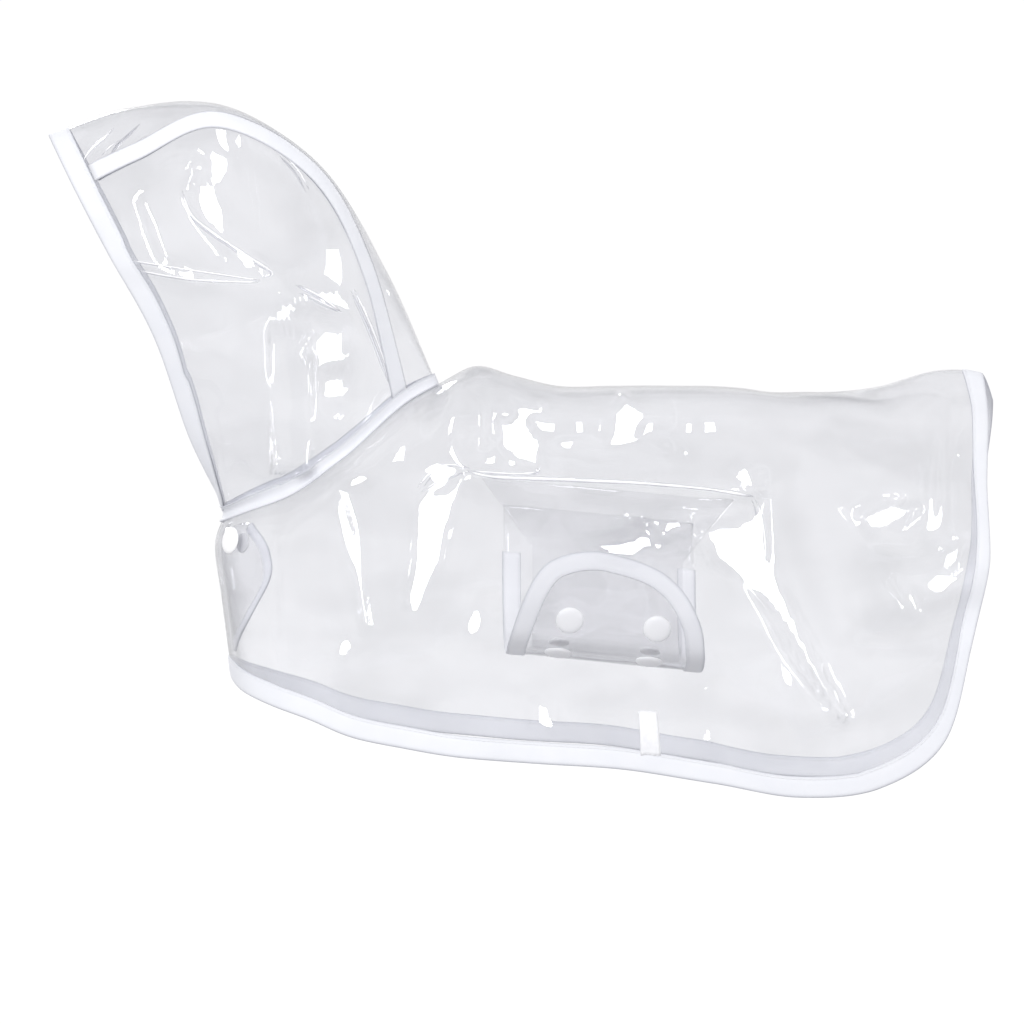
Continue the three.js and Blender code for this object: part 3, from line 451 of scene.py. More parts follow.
body = halves(bodySections, ["top", "shoulder", "side", "hem"], napeRow, 0,
              coat["bodyColumns"], bodyFolds, bodyCreases, bodyFlats)
hood = halves(hoodSections, ["edge", "brow", "top", "back", "nape", "neck"], -1, coat["seamGap"],
              coat["hoodColumns"], hoodFolds, hoodCreases, hoodFlats)
napeIndex = napeRow * coat["stepsPerSection"]
crownIndex = crownSeamRow * coat["stepsPerSection"]
bodyLast = len(body["near"]["points"]) - 1
hoodLast = len(hood["near"]["points"]) - 1
print("surfaces laid out")


# Materials

class Value:
    def __init__(self, tree, socket):
        self.tree = tree
        self.socket = socket

    def combine(self, operation, first, second):
        node = self.tree.nodes.new("ShaderNodeMath")
        node.operation = operation
        for socket, value in zip(node.inputs, (first, second)):
            if isinstance(value, Value):
                self.tree.links.new(value.socket, socket)
            else:
                socket.default_value = value
        return Value(self.tree, node.outputs[0])

    def __add__(self, other):
        return self.combine("ADD", self, other)

    def __radd__(self, other):
        return self.combine("ADD", other, self)

    def __sub__(self, other):
        return self.combine("SUBTRACT", self, other)

    def __rsub__(self, other):
        return self.combine("SUBTRACT", other, self)

    def __mul__(self, other):
        return self.combine("MULTIPLY", self, other)

    def __rmul__(self, other):
        return self.combine("MULTIPLY", other, self)

    def __truediv__(self, other):
        return self.combine("DIVIDE", self, other)


class Finish:    # of a material or the world
    def __init__(self, owner):
        self.owner = owner
        self.owner.use_nodes = True
        self.tree = self.owner.node_tree
        self.tree.nodes.clear()

    def node(self, kind, settings=None, sockets=None, out=0):
        node = self.tree.nodes.new("ShaderNode" + kind)
        for name, value in (settings or {}).items():
            if name == "stops":
                ramp = node.color_ramp
                while len(ramp.elements) < len(value):
                    ramp.elements.new(0.5)
                for element, (position, color) in zip(ramp.elements, value):
                    element.position = position
                    element.color = color
            else:
                setattr(node, name, value)
        for name, value in (sockets or {}).items():
            if isinstance(value, Value):
                self.tree.links.new(value.socket, node.inputs[name])
            else:
                node.inputs[name].default_value = value
        return Value(self.tree, node.outputs[out]) if node.outputs else None

    def noise(self, place, scale, detail=2.0, stretch=None):
        if stretch:
            place = self.node("Mapping", {}, {"Vector": place, "Scale": stretch})
        return self.node("TexNoise", {}, {"Vector": place, "Scale": scale, "Detail": detail}, out=0)

    def step(self, value, low, high):
        return self.node("MapRange", {"interpolation_type": "SMOOTHSTEP"},
                         {"Value": value, "From Min": low, "From Max": high})

    def surface(self, shader, output="OutputMaterial"):
        self.node(output, {}, {"Surface": shader})
        return self.owner


clear = {
    "tint": (0.957, 0.958, 0.967, 1),     # what one face of the film lets through
    "thinTint": (0.982, 0.982, 0.986, 1), # the same for the strap's thinner film
    "veil": (0.66, 0.67, 0.70, 1),        # its faint milky bloom
    "paintedFoldHighlight": (0.97, 0.97, 0.985, 1),     # painted highlight: the veil's colour along the crest of a sharp fold
    "paintedFoldHighlightShare": 0.95,
    "veilLow": 0.004, "veilHigh": 0.055, "veilEdge": 0.24,
    "reflect": 0.042,                     # share of light that one face throws back
    "roughness": 0.02,
    "patch": 0.022,                       # where two layers don't cling, on the strap's area
}


def clearFilm(name, patches):
    finish = Finish(bpy.data.materials.new(name))
    place = finish.node("TexCoord", out=3)
    cloud = finish.noise(place, 15, 1, (1, 1, 1.9))
    bloom = finish.step(cloud, 0.47, 0.68) * (clear["veilHigh"] - clear["veilLow"]) + clear["veilLow"]
    turned = finish.node("LayerWeight", {}, {"Blend": 0.5}, out=1)    # 0 facing, 1 edge on
    steep = turned * turned * turned
    # painted highlight: along each sharp fold's crest the film is made more milky and whiter
    paintedLightMark = finish.node("Attribute", {"attribute_name": "wear"}, out=2)
    share = bloom + steep * clear["veilEdge"] + paintedLightMark * clear["paintedFoldHighlightShare"]
    if patches:
        share = share + finish.step(finish.noise(place, 34, 1, (0.7, 1, 1)), 0.505, 0.515) * clear["patch"]
    bump = finish.node("Bump", {}, {
        "Strength": 0.3, "Distance": 0.0002, "Height": finish.noise(place, 90, 2)})
    passing = finish.node("BsdfTransparent", {}, {"Color": clear["thinTint" if patches else "tint"]})
    milk = finish.node("Mix", {"data_type": "RGBA"}, {0: paintedLightMark, 6: clear["veil"], 7: clear["paintedFoldHighlight"]}, out=2)
    veil = finish.node("BsdfPrincipled", {}, {
        "Base Color": milk, "Roughness": 0.5, "IOR": 1.45, "Normal": bump})
    gloss = finish.node("BsdfGlossy", {}, {
        "Color": (1, 1, 1, 1), "Roughness": clear["roughness"], "Normal": bump})
    rim = steep * turned * turned * (1 - clear["reflect"]) + clear["reflect"]
    milky = finish.node("MixShader", {}, {0: share, 1: passing, 2: veil})
    return finish.surface(finish.node("MixShader", {}, {0: rim, 1: milky, 2: gloss}))


tapeLook = {
    "color": (0.855, 0.865, 0.9, 1), "shade": (0.79, 0.805, 0.86, 1),
    # painted light: the strap's binding is the same binding painted lighter, to make up for the light it
    # loses through the film
    "strapPaintedLightColor": (0.94, 0.945, 0.965, 1), "strapPaintedLightTone": (0.9, 0.91, 0.94, 1),
    "edge": (0.50, 0.51, 0.56, 1),    # painted shade along the fold and the borders
    "threadPitch": 0.00055,     # between two threads of the weave, metres
    "roughness": 0.55,
}


def wovenTape(name, color, shade):
    finish = Finish(bpy.data.materials.new(name))
    uv = finish.node("UVMap", {"uv_map": "cloth"})
    split = finish.node("SeparateXYZ", {}, {"Vector": uv})
    across = Value(finish.tree, split.socket.node.outputs[1])
    turn = 2 * math.pi / tapeLook["threadPitch"]
    warp = finish.node("Math", {"operation": "SINE"}, {0: split * turn})
    weft = finish.node("Math", {"operation": "SINE"}, {0: across * turn})
    weave = warp * weft
    place = finish.node("TexCoord", out=3)
    cloud = finish.step(finish.noise(place, 60, 3), 0.35, 0.7)
    plain = finish.node("Mix", {"data_type": "RGBA"}, {
        0: cloud * 0.35 + weave * 0.12 + 0.05, 6: color, 7: shade}, out=2)
    # painted shade along the binding's fold and borders, read from the attribute
    edge = finish.node("Attribute", {"attribute_name": "wear"}, out=2)
    mix = finish.node("Mix", {"data_type": "RGBA"}, {0: edge, 6: plain, 7: tapeLook["edge"]}, out=2)
    height = weave * 0.5 + finish.noise(place, 700, 2) * 0.6
    bump = finish.node("Bump", {}, {"Strength": 0.25, "Distance": 0.0002, "Height": height})
    return finish.surface(finish.node("BsdfPrincipled", {}, {
        "Base Color": mix, "Roughness": tapeLook["roughness"], "Specular IOR Level": 0.35,
        "Sheen Weight": 0.15, "Sheen Roughness": 0.4, "Normal": bump}))


def plainFinish(name, color, shade, roughness, grain, bumpDepth):
    finish = Finish(bpy.data.materials.new(name))
    place = finish.node("TexCoord", out=3)
    cloud = finish.step(finish.noise(place, grain, 3), 0.35, 0.7)
    mix = finish.node("Mix", {"data_type": "RGBA"}, {0: cloud, 6: color, 7: shade}, out=2)
    bump = finish.node("Bump", {}, {
        "Strength": 0.2, "Distance": bumpDepth, "Height": finish.noise(place, grain * 6, 2)})
    rough = cloud * 0.08 + roughness
    return finish.surface(finish.node("BsdfPrincipled", {}, {
        "Base Color": mix, "Roughness": rough, "Normal": bump}))


plainLooks = [    # grain is a noise scale, bumpDepth is in metres
    {"name": "whiteThread", "color": (0.93, 0.93, 0.95, 1), "shade": (0.86, 0.87, 0.9, 1),
     "roughness": 0.5, "grain": 900, "bumpDepth": 0.00005},
    {"name": "whitePlastic", "color": (0.985, 0.985, 0.985, 1), "shade": (0.975, 0.975, 0.98, 1),
     "roughness": 0.28, "grain": 120, "bumpDepth": 0.00003},
    {"name": "whiteSatin", "color": (0.93, 0.93, 0.95, 1), "shade": (0.88, 0.885, 0.91, 1),
     "roughness": 0.42, "grain": 400, "bumpDepth": 0.0001},
]
filmFinish = clearFilm("clearFilm", False)
doubleFinish = clearFilm("clearFilmDouble", True)
tapeFinish = wovenTape("whiteTape", tapeLook["color"], tapeLook["shade"])
# painted light: a lighter copy of the binding's finish, for the strap
strapTapePaintedLightFinish = wovenTape("whiteTapeBright", tapeLook["strapPaintedLightColor"], tapeLook["strapPaintedLightTone"])
threadFinish, snapFinish, labelFinish = [plainFinish(**look) for look in plainLooks]
print("finishes made")


# Meshes

def toMetres(point):
    return Vector((point.x, point.y, point.z + coat["wall"])) * metre


def finishPiece(name, bm, material, replaced):
    for face in bm.faces:
        face.smooth = True
    mesh = bpy.data.meshes.new(name)
    bm.to_mesh(mesh)
    bm.free()
    piece = bpy.data.objects.new(name, mesh)
    bpy.context.scene.collection.objects.link(piece)
    mesh.materials.append(material)
    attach(piece, "root")
    if replaced:
        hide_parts(*replaced)
    return piece


def clothMesh(surface, wear=None):    # a plain grid, laid on the points of a surface
    points, normals = surface["points"], surface["normals"]
    rows, columns = len(points) - 1, len(points[0]) - 1
    bm = bmesh.new()
    bmesh.ops.create_grid(bm, x_segments=rows, y_segments=columns, size=1)
    uv = bm.loops.layers.uv.new("cloth")
    # this attribute holds painted light: painted shade along the binding's fold and borders, and a painted
    # highlight along the crests of sharp film folds
    paintedLightMark = bm.verts.layers.float.new("wear")
    spots = {}
    for vert in bm.verts:
        i = round((vert.co.x + 1) / 2 * rows)
        j = round((vert.co.y + 1) / 2 * columns)
        spots[vert] = (i, j)
        vert.co = toMetres(points[i][j])
        vert[paintedLightMark] = wear(i, j) if wear else 0.0
    middle = columns // 2
    runs = [0.0]
    for a, b in zip(points, points[1:]):
        runs.append(runs[-1] + (b[middle] - a[middle]).length * metre)
    widths = [0.0]
    for a, b in zip(points[rows // 2], points[rows // 2][1:]):
        widths.append(widths[-1] + (b - a).length * metre)
    outward = 0.0
    for face in bm.faces:
        face.normal_update()
        for loop in face.loops:
            i, j = spots[loop.vert]
            loop[uv].uv = (runs[i], widths[j])
            outward += face.normal.dot(normals[i][j])
    if outward < 0:
        bmesh.ops.reverse_faces(bm, faces=bm.faces)
    bmesh.ops.remove_doubles(bm, verts=bm.verts, dist=0.00001)
    return bm


def thicken(piece, thickness, offset=0.0):
    shell = piece.modifiers.new("thickness", "SOLIDIFY")
    shell.thickness = thickness * metre
    shell.offset = offset
    return piece


def sunk(surface, depth):
    points = [[p - n * depth for p, n in zip(row, directions)]
              for row, directions in zip(surface["points"], surface["normals"])]
    return {"points": points, "normals": surface["normals"]}


pinchShape = {
    "height": [0.03, 0.12, 0.25, 0.36, 0.4, 0.36, 0.25, 0.12, 0.03],    # across, in half widths
    # painted highlight across the strip, strongest on its crest
    "white": [0.0, 0.35, 0.8, 1.0, 1.0, 1.0, 0.8, 0.35, 0.0],
    "step": 1.6, "taper": 9, "end": 0.15, "lift": 0.05,
    "wide": 0.8, "uneven": 0.5, "unevenSize": 9,
}


def addPinches(bm, sides, pinches):    # narrow raised strips, laid into the panel's own mesh
    height = pinchShape["height"]
    middle = len(height) // 2
    for surface, (shiftX, shiftZ) in sides:
        for pinch in pinches:
            line = extendedEnds([Vector((x + shiftX, 0, z + shiftZ)) for x, z in pinch["points"]])
            length = sum((b - a).length for a, b in zip(line[1:-2], line[2:-1]))
            count = max(8, round(length / pinchShape["step"]))
            trail = spaced(line, lambda total: [total * k / count for k in range(count + 1)])
            points, normals = [], []
            for k, spot in enumerate(trail):
                ahead, behind = trail[min(k + 1, count)], trail[max(k - 1, 0)]
                run = (ahead - behind).normalized()
                side = Vector((-run.z, 0, run.x))
                left = min(k, count - k) * pinchShape["step"]
                taper = clamp(left / pinchShape["taper"] + pinchShape["end"])
                waver = pinchShape["uneven"] * noise.noise(spot / pinchShape["unevenSize"])
                half = pinch["width"] * taper * (pinchShape["wide"] + waver)
                row, directions = [], []
                for n, share in enumerate(height):
                    place = spot + side * half * (n / middle - 1)
                    point, normal = sideAt(surface, place.x, place.z)
                    row.append(point + normal * (share * half + pinchShape["lift"]))
                    directions.append(normal)
                points.append(row)
                normals.append(directions)
            strip = clothMesh(sunk({"points": points, "normals": normals}, coat["filmDepth"]),
                              lambda i, j: pinchShape["white"][j] * min(1, min(i, count - i) / 3))
            made = bpy.data.meshes.new("pinch")
            strip.to_mesh(made)
            strip.free()
            bm.from_mesh(made)
            bpy.data.meshes.remove(made)


def filmPiece(name, surface, node, material=None, pinches=(), sides=()):
    bm = clothMesh(sunk(surface, coat["filmDepth"]))
    addPinches(bm, sides, pinches)
    piece = finishPiece(name, bm, material or filmFinish, [node])
    piece.visible_shadow = False    # clear film
    return thicken(piece, coat["film"])


fold = {
    # inset from the film's edge and height over the film's middle, from the border out to the fold
    "leaf": [(10.0, 0.34), (9.7, 0.62), (9.2, 0.70), (8.6, 0.60), (8.0, 0.72), (6.2, 0.82), (4.0, 0.84),
             (2.0, 0.82), (0.8, 0.76), (-0.1, 0.66), (-0.6, 0.40), (-0.8, 0.0)],
    "edge": [0.6, 0.4, 0.1, 0.12, 0, 0, 0, 0, 0.05, 0.3, 0.7, 0.9],    # painted shade: how dark each of these lies, darkest at the fold and the borders
    "stitchInset": 8.6, "stitchHeight": 0.86,
    "stitchPitch": 2.6, "threadRadius": 0.17, "threadSides": 5,
    "dips": [0.45, 0.08, 0.0, 0.0, 0.08],    # how far the thread sinks, step by step through one stitch
}


# Stations run along the edge. Each gives a point and its normal for any inset from the edge.
def foldedTape(name, stations, node, width=None, finish=None):
    scale = (width or coat["tapeWidth"]) / coat["tapeWidth"]
    leaf = fold["leaf"]
    profile = leaf + [(inset, -height) for inset, height in leaf[-2::-1]]
    edge = fold["edge"] + fold["edge"][-2::-1]
    points, normals = [], []
    for station in stations:
        row, directions = [], []
        for inset, height in profile:
            point, normal = station(inset * scale if inset > 0 else inset)
            row.append(point + normal * (height - coat["filmDepth"]))
            directions.append(normal * (1 if height >= 0 else -1))
        points.append(row)
        normals.append(directions)
    bm = clothMesh({"points": points, "normals": normals}, lambda i, j: edge[j])
    piece = finishPiece(name, bm, finish or tapeFinish, [node])
    thicken(piece, coat["tape"], -1)
    for side in (1, -1):
        line = []
        for station in stations:
            point, normal = station(fold["stitchInset"] * scale)
            line.append((point + normal * (side * fold["stitchHeight"] - coat["filmDepth"]), normal * side))
        threadLine(name + ("Stitches" if side > 0 else "StitchesInside"), line)
    return piece


def threadLine(name, line):    # one thread that dips into the cloth between its stitches
    lengths = [0.0]
    for (a, _), (b, _) in zip(line, line[1:]):
        lengths.append(lengths[-1] + (b - a).length)
    dips, around = fold["dips"], fold["threadSides"]
    count = int(lengths[-1] / fold["stitchPitch"]) * len(dips)
    points, normals = [], []
    k = 1
    for s in range(count + 1):
        distance = lengths[-1] * s / count
        while k < len(lengths) - 1 and lengths[k] < distance:
            k += 1
        share = clamp((distance - lengths[k - 1]) / max(lengths[k] - lengths[k - 1], 1e-9))
        point = line[k - 1][0].lerp(line[k][0], share)
        up = line[k - 1][1].lerp(line[k][1], share).normalized()
        run = (line[k][0] - line[k - 1][0]).normalized()
        side = run.cross(up).normalized()
        point = point - up * dips[s % len(dips)]
        ring = [math.tau * a / around for a in range(around + 1)]
        directions = [side * math.cos(a) + up * math.sin(a) for a in ring]
        points.append([point + d * fold["threadRadius"] for d in directions])
        normals.append(directions)
    bm = clothMesh({"points": points, "normals": normals})
    bmesh.ops.holes_fill(bm, edges=bm.edges, sides=around)
    return finishPiece(name, bm, threadFinish, [])


seamTape = {    # heights over the seam, where it lies free and where its ends are tucked in
    "lift": 0.45, "tucked": -0.12, "tuck": 3.2,
    "thickness": 0.6, "count": 10, "borderShade": 0.6,
}


def flatTape(name, rows, node, tucks=False):    # a strip over a seam, from points above, on and below it
    count = seamTape["count"]
    lengths = [0.0]
    for before, after in zip(rows, rows[1:]):
        lengths.append(lengths[-1] + (after[1][0] - before[1][0]).length)
    points, normals = [], []
    for (above, seam, below), walked in zip(rows, lengths):
        away = clamp(min(walked, lengths[-1] - walked) / seamTape["tuck"]) if tucks else 1
        lift = seamTape["tucked"] + (seamTape["lift"] - seamTape["tucked"]) * away
        a, m, b = (point + normal * lift for point, normal in (above, seam, below))
        control = 2 * m - (a + b) / 2
        row, directions = [], []
        for k in range(count + 1):
            t = k / count
            row.append(a * (1 - t) ** 2 + control * 2 * t * (1 - t) + b * t * t)
            directions.append(above[1].lerp(below[1], t).normalized())
        points.append(row)
        normals.append(directions)

    # painted shade along the two borders of a seam tape
    def borderShade(i, j):
        return seamTape["borderShade"] if j in (0, count) else 0.0

    bm = clothMesh({"points": points, "normals": normals}, borderShade)
    piece = finishPiece(name, bm, tapeFinish, [node])
    thicken(piece, seamTape["thickness"])
    for side, border in (("Upper", 1), ("Lower", count - 1)):
        line = [(row[border] + n[border] * (seamTape["thickness"] / 2 + 0.02), n[border])
                for row, n in zip(points, normals)]
        threadLine(name + "Stitches" + side, line)
    return piece


# Panels

bodyAll = joined(body, 0, bodyLast)
hoodAll = joined(hood, 0, hoodLast)
bodyPiece = filmPiece("bodyFilm", bodyAll, "body_panel", None, bodyPinches,
                      [(body["near"], (0, 0)), (body["far"], (5, -5))])
gussetPiece = filmPiece("hoodGussetFilm", joined(hood, 0, crownIndex), "hood_gusset", None, gussetPinches,
                        [(hood["near"], (0, 0)), (hood["far"], (12, 2))])
for side in ("near", "far"):
    stretch = {key: hood[side][key][crownIndex:] for key in ("points", "normals")}
    filmPiece("hoodSide" + side.title() + "Film", stretch, "hood_side_" + side, None,
                                hoodPinches, [(hood[side], (0, 0) if side == "near" else (-1, -2))])
print("film panels made")


# Binding

def pastEnd(surface, i, inset):
    return onRow(surface, i, -inset if inset > 0 else rowLength(surface["points"][i]) - inset)


def pastStart(surface, i, inset):
    if inset >= 0:
        return onRow(surface, i, inset + 1e-6)
    points, normals = surface["points"][i], surface["normals"][i]
    return points[0] + (points[0] - points[1]).normalized() * -inset, normals[0]


def stationsAlong(surface, placeAt):
    return [lambda inset, i=i: placeAt(surface, i, inset) for i in range(len(surface["points"]))]


hemPiece = foldedTape("hemBinding", stationsAlong(bodyAll, pastEnd), "hem_tape")
facePiece = foldedTape("hoodEdgeBinding", stationsAlong(hoodAll, pastStart), "hood_edge_tape")


def crownRows(half):
    rows = []
    surfaceRows = half["points"]
    lengths = [rowLength(surfaceRows[crownIndex][:j + 1]) for j in range(coat["hoodColumns"] + 1)]
    first, last = coat["tapeWidth"] - coat["tuckedIn"], coat["neckLap"] - coat["tuckedIn"]
    for j in range(coat["hoodColumns"]):
        if lengths[j] < first or lengths[-1] - lengths[j] < last:
            continue
        seam = surfaceRows[crownIndex][j]
        normal = half["normals"][crownIndex][j]

        def reach(direction):
            walked = 0.0
            i = crownIndex
            while walked < coat["crownLap"] and 0 < i < hoodLast:
                walked += (surfaceRows[i + direction][j] - surfaceRows[i][j]).length
                i += direction
            over = walked - coat["crownLap"]
            reached = surfaceRows[i][j]
            before = surfaceRows[i - direction][j]
            point = reached + (before - reached).normalized() * max(over, 0)
            return point, half["normals"][i][j]

        rows.append((reach(-1), (seam, normal), reach(1)))
    return rows


def neckRows():
    rows = []
    stations = [("far", i) for i in range(hoodLast, 0, -1)] + [("near", i) for i in range(hoodLast + 1)]
    for side, i in stations:
        above = onRow(hood[side], i, -coat["neckLap"])
        below = onRow(body[side], napeIndex + i, coat["neckLap"])
        seam, normal = onRow(body[side], napeIndex + i, 1e-6)
        hoodNormal = hood[side]["normals"][i][-1]
        rows.append((above, (seam, (normal + hoodNormal).normalized()), below))
    return rows


crownPieces = [
    flatTape("crownTapeNear", crownRows(hood["near"]), "crown_tape_near", True),
    flatTape("crownTapeFar", crownRows(hood["far"]), "crown_tape_far", True),
]
neckPiece = flatTape("neckTape", neckRows(), "neck_tape")
print("binding made")


# Belly strap, tab and chest flap

strap = {
    "tilt": -0.1,           # drop in z for each millimetre towards the tail
    "tape": 8.5, "tapeGap": 0.5, "tapeSteps": 190, "endRise": 0.8,
    "seamZ": -66, "seamRise": 8, "seamEase": 0.7, "steps": 8, "columns": 32,
    "wave": 0.5, "waveSize": 24,
    "sections": named(("name", "y", "z", "left", "right"), [
        ("rounded end", -46.5, -82, -10, 5),
        ("arch 1", -46.4, -84.5, -19, 18),
        ("arch 2", -46, -89.5, -28, 30),
        ("arch 3", -45.4, -99, -35, 40),
        ("upper snaps", -43.5, -113, -41, 47),
        ("turn", -38.5, -126, -45, 49),
        ("lower snaps", -27, -133, -46.5, 49.5),
        ("under", -12, -137, -46.5, 49.5),
        ("belly", 6, -138, -46.5, 49.5),
        ("far under", 24, -134.5, -46.5, 49.5),
        ("far turn", 37, -126, -46.5, 49.5),
        ("far side", 44, -110, -46.5, 49.5),
        ("far rise", 47.5, -90, -46.5, 49.5),
    ]),
}
tab = {    # end is a row of the strap's sections
    "seamZ": -49, "rise": 10, "seamHalf": 62, "bodyHalf": 37, "centre": 1.5, "end": 7.34, "columns": 36,
    "depth": 2, "wave": 0.3, "waveSize": 21,
}
snapSeat = 0.3              # between a socket and the film that it holds
bellySnaps = named(("name", "x", "section"), [
    ("belly_snap_front_upper", -17, 4.2),
    ("belly_snap_rear_upper", 26, 4.2),
    ("belly_snap_front_lower", -22, 6),
    ("belly_snap_rear_lower", 23, 6),
])
chestFlap = {    # outline: table row and distance down that cut, from the hem end of its root upwards
    "outline": [(18.5, 71), (17.5, 71), (16.6, 66), (15.95, 54),
                (16.2, 36), (16.75, 16), (17.2, 8), (18.5, 7)],
    "centre": (18.5, 42), "root": 0.5, "tape": 5.5, "tapeStart": 0.875, "tapeEnd": 5.54,
    "steps": 56, "rings": 14, "tapeSteps": 40, "innerShare": 0.6,
}
chestSnap = {"section": 17.2, "drop": 19, "seat": 2.3}
label = {    # width in table rows, clear is its foot above the binding
    "section": 8.7, "width": 0.228, "height": 22, "clear": -1.5, "thickness": 0.5,
    "rows": 12, "columns": 6, "foot": 0.1, "rise": 0.65, "belly": 0.5,
}


strapLeft = extendedEnds([Vector((s["left"], s["y"], s["z"])) for s in strap["sections"]])
strapRight = extendedEnds([Vector((s["right"], s["y"], s["z"])) for s in strap["sections"]])


def strapCut(section):
    last = len(strap["sections"]) - 1
    left, right = along(strapLeft, section), along(strapRight, section)
    ahead, behind = along(strapLeft, min(section + 0.02, last)), along(strapLeft, max(section - 0.02, 0))
    dy, dz = ahead.y - behind.y, ahead.z - behind.z
    normal = Vector((dy * strap["tilt"], dz, -dy)).normalized()
    return {"left": left.x, "right": right.x, "y": left.y, "z": left.z, "normal": normal}


def strapPoint(cut, x, inward):
    return Vector((x, cut["y"], cut["z"] + strap["tilt"] * x)) - cut["normal"] * inward


def strapSurface():
    points, normals = [], []
    rows = (len(strap["sections"]) - 1) * strap["steps"]
    across = [k / strap["columns"] for k in range(strap["columns"] + 1)]
    for i in range(rows + 1):
        cut = strapCut(i / strap["steps"])
        xs = [cut["left"] + (cut["right"] - cut["left"]) * u for u in across]
        waves = [noise.noise(Vector((x, cut["y"] * 2, cut["z"])) / strap["waveSize"]) for x in xs]
        points.append([strapPoint(cut, x, -strap["wave"] * wave) for x, wave in zip(xs, waves)])
        normals.append([cut["normal"]] * len(xs))
    end = strapCut(len(strap["sections"]) - 1)
    for k in range(1, strap["seamRise"] + 1):
        share = k / strap["seamRise"]
        row, directions = [], []
        for u in across:
            x = end["left"] + (end["right"] - end["left"]) * u
            z = end["z"] + (strap["seamZ"] - end["z"]) * share + strap["tilt"] * x
            point, normal = sideAt(body["far"], x, z)
            seam = point - normal * (coat["wall"] + coat["seamGap"])
            row.append(Vector((x, end["y"], z)).lerp(seam, share ** strap["seamEase"]))
            directions.append(end["normal"].lerp(normal, share).normalized())
        points.append(row)
        normals.append(directions)
    return {"points": points, "normals": normals}


def strapTapeStations():
    rows = (len(strap["sections"]) - 1) * strap["steps"]
    cuts = [strapCut(i / strap["steps"]) for i in range(rows + 1)]
    lengths = [0.0]
    for a, b in zip(cuts, cuts[1:]):
        lengths.append(lengths[-1] + math.hypot(b["y"] - a["y"], b["z"] - a["z"]))

    def place(spot):    # from the flat cut on to the strap
        i = 0
        while i < rows - 1 and lengths[i + 1] < spot.y:
            i += 1
        share = (spot.y - lengths[i]) / (lengths[i + 1] - lengths[i])
        lower, upper = strapPoint(cuts[i], spot.x, 0), strapPoint(cuts[i + 1], spot.x, 0)
        normal = cuts[i]["normal"].lerp(cuts[i + 1]["normal"], clamp(share)).normalized()
        return lower + (upper - lower) * share, normal

    marks = [int(k * strap["steps"]) for k in range(len(strap["sections"]))]
    left = [Vector((cuts[i]["left"], lengths[i], 0)) for i in marks[::-1]]
    right = [Vector((cuts[i]["right"], lengths[i], 0)) for i in marks]
    middle = Vector(((cuts[0]["left"] + cuts[0]["right"]) / 2, lengths[0] - strap["endRise"], 0))
    outline = extendedEnds([*left, middle, *right])
    count = strap["tapeSteps"]
    trail = spaced(outline, lambda length: [length * k / count for k in range(count + 1)], 600)
    stations = []
    for k, spot in enumerate(trail):
        ahead, behind = trail[min(k + 1, count)], trail[max(k - 1, 0)]
        run = (ahead - behind).normalized()
        inward = Vector((-run.y, run.x, 0))
        stations.append(lambda inset, spot=spot, inward=inward: place(spot + inward * inset))
    return stations


strapAll = strapSurface()
strapPiece = filmPiece("bellyStrapFilm", strapAll, "belly_strap", doubleFinish)
strapTapePiece = foldedTape("bellyStrapBinding", strapTapeStations(), "belly_strap_tape", strap["tape"],
                            strapTapePaintedLightFinish)

tabDepth = coat["wall"] + coat["binding"] + strap["tapeGap"] + 2 * coat["seamGap"]


def tabSurface():
    across = [2 * k / tab["columns"] - 1 for k in range(tab["columns"] + 1)]
    top = []
    for u in across:
        x = tab["centre"] + tab["seamHalf"] * u
        point, normal = sideAt(body["near"], x, tab["seamZ"] + strap["tilt"] * x)
        top.append((point - normal * tab["depth"], normal))

    def lower(section):
        cut = strapCut(section)
        return [(strapPoint(cut, tab["centre"] + tab["bodyHalf"] * u, tabDepth), cut["normal"])
                for u in across]

    joint = lower(0)
    rows = []
    for k in range(tab["rise"]):
        share = k / tab["rise"]
        rows.append([(a.lerp(b, share), m.lerp(n, share).normalized())
                     for (a, m), (b, n) in zip(top, joint)])
    steps = int(tab["end"] * strap["steps"])
    rows += [lower(i / strap["steps"]) for i in range(steps + 1)]
    points = [[p + n * tab["wave"] * noise.noise(p / tab["waveSize"]) for p, n in row] for row in rows]
    return {"points": points, "normals": [[n for _, n in row] for row in rows]}


tabPiece = filmPiece("bellyTabFilm", tabSurface(), "belly_tab", doubleFinish)


def flapDepth(section):
    throat = len(bodySections) - 1
    share = clamp((throat + chestFlap["root"] - section) / chestFlap["root"])
    return coat["wall"] + coat["seamGap"] + share * (coat["binding"] + 2 * coat["seamGap"])


flapLine = extendedEnds([Vector((row, distance, 0)) for row, distance in chestFlap["outline"]])


def flapPlace(position, reach):    # on the way from the middle of the root (0) out to the outline (1)
    centre = Vector((*chestFlap["centre"], 0))
    row, distance, _ = centre.lerp(along(flapLine, position), reach)
    point, normal = onSurface(body, row, distance)
    return point - normal * flapDepth(row), normal


def flapStation(position, inset):
    edge, normal = flapPlace(position, 1)
    inner, innerNormal = flapPlace(position, chestFlap["innerShare"])
    share = inset / (inner - edge).length
    return edge + (inner - edge) * share, normal.lerp(innerNormal, clamp(share)).normalized()


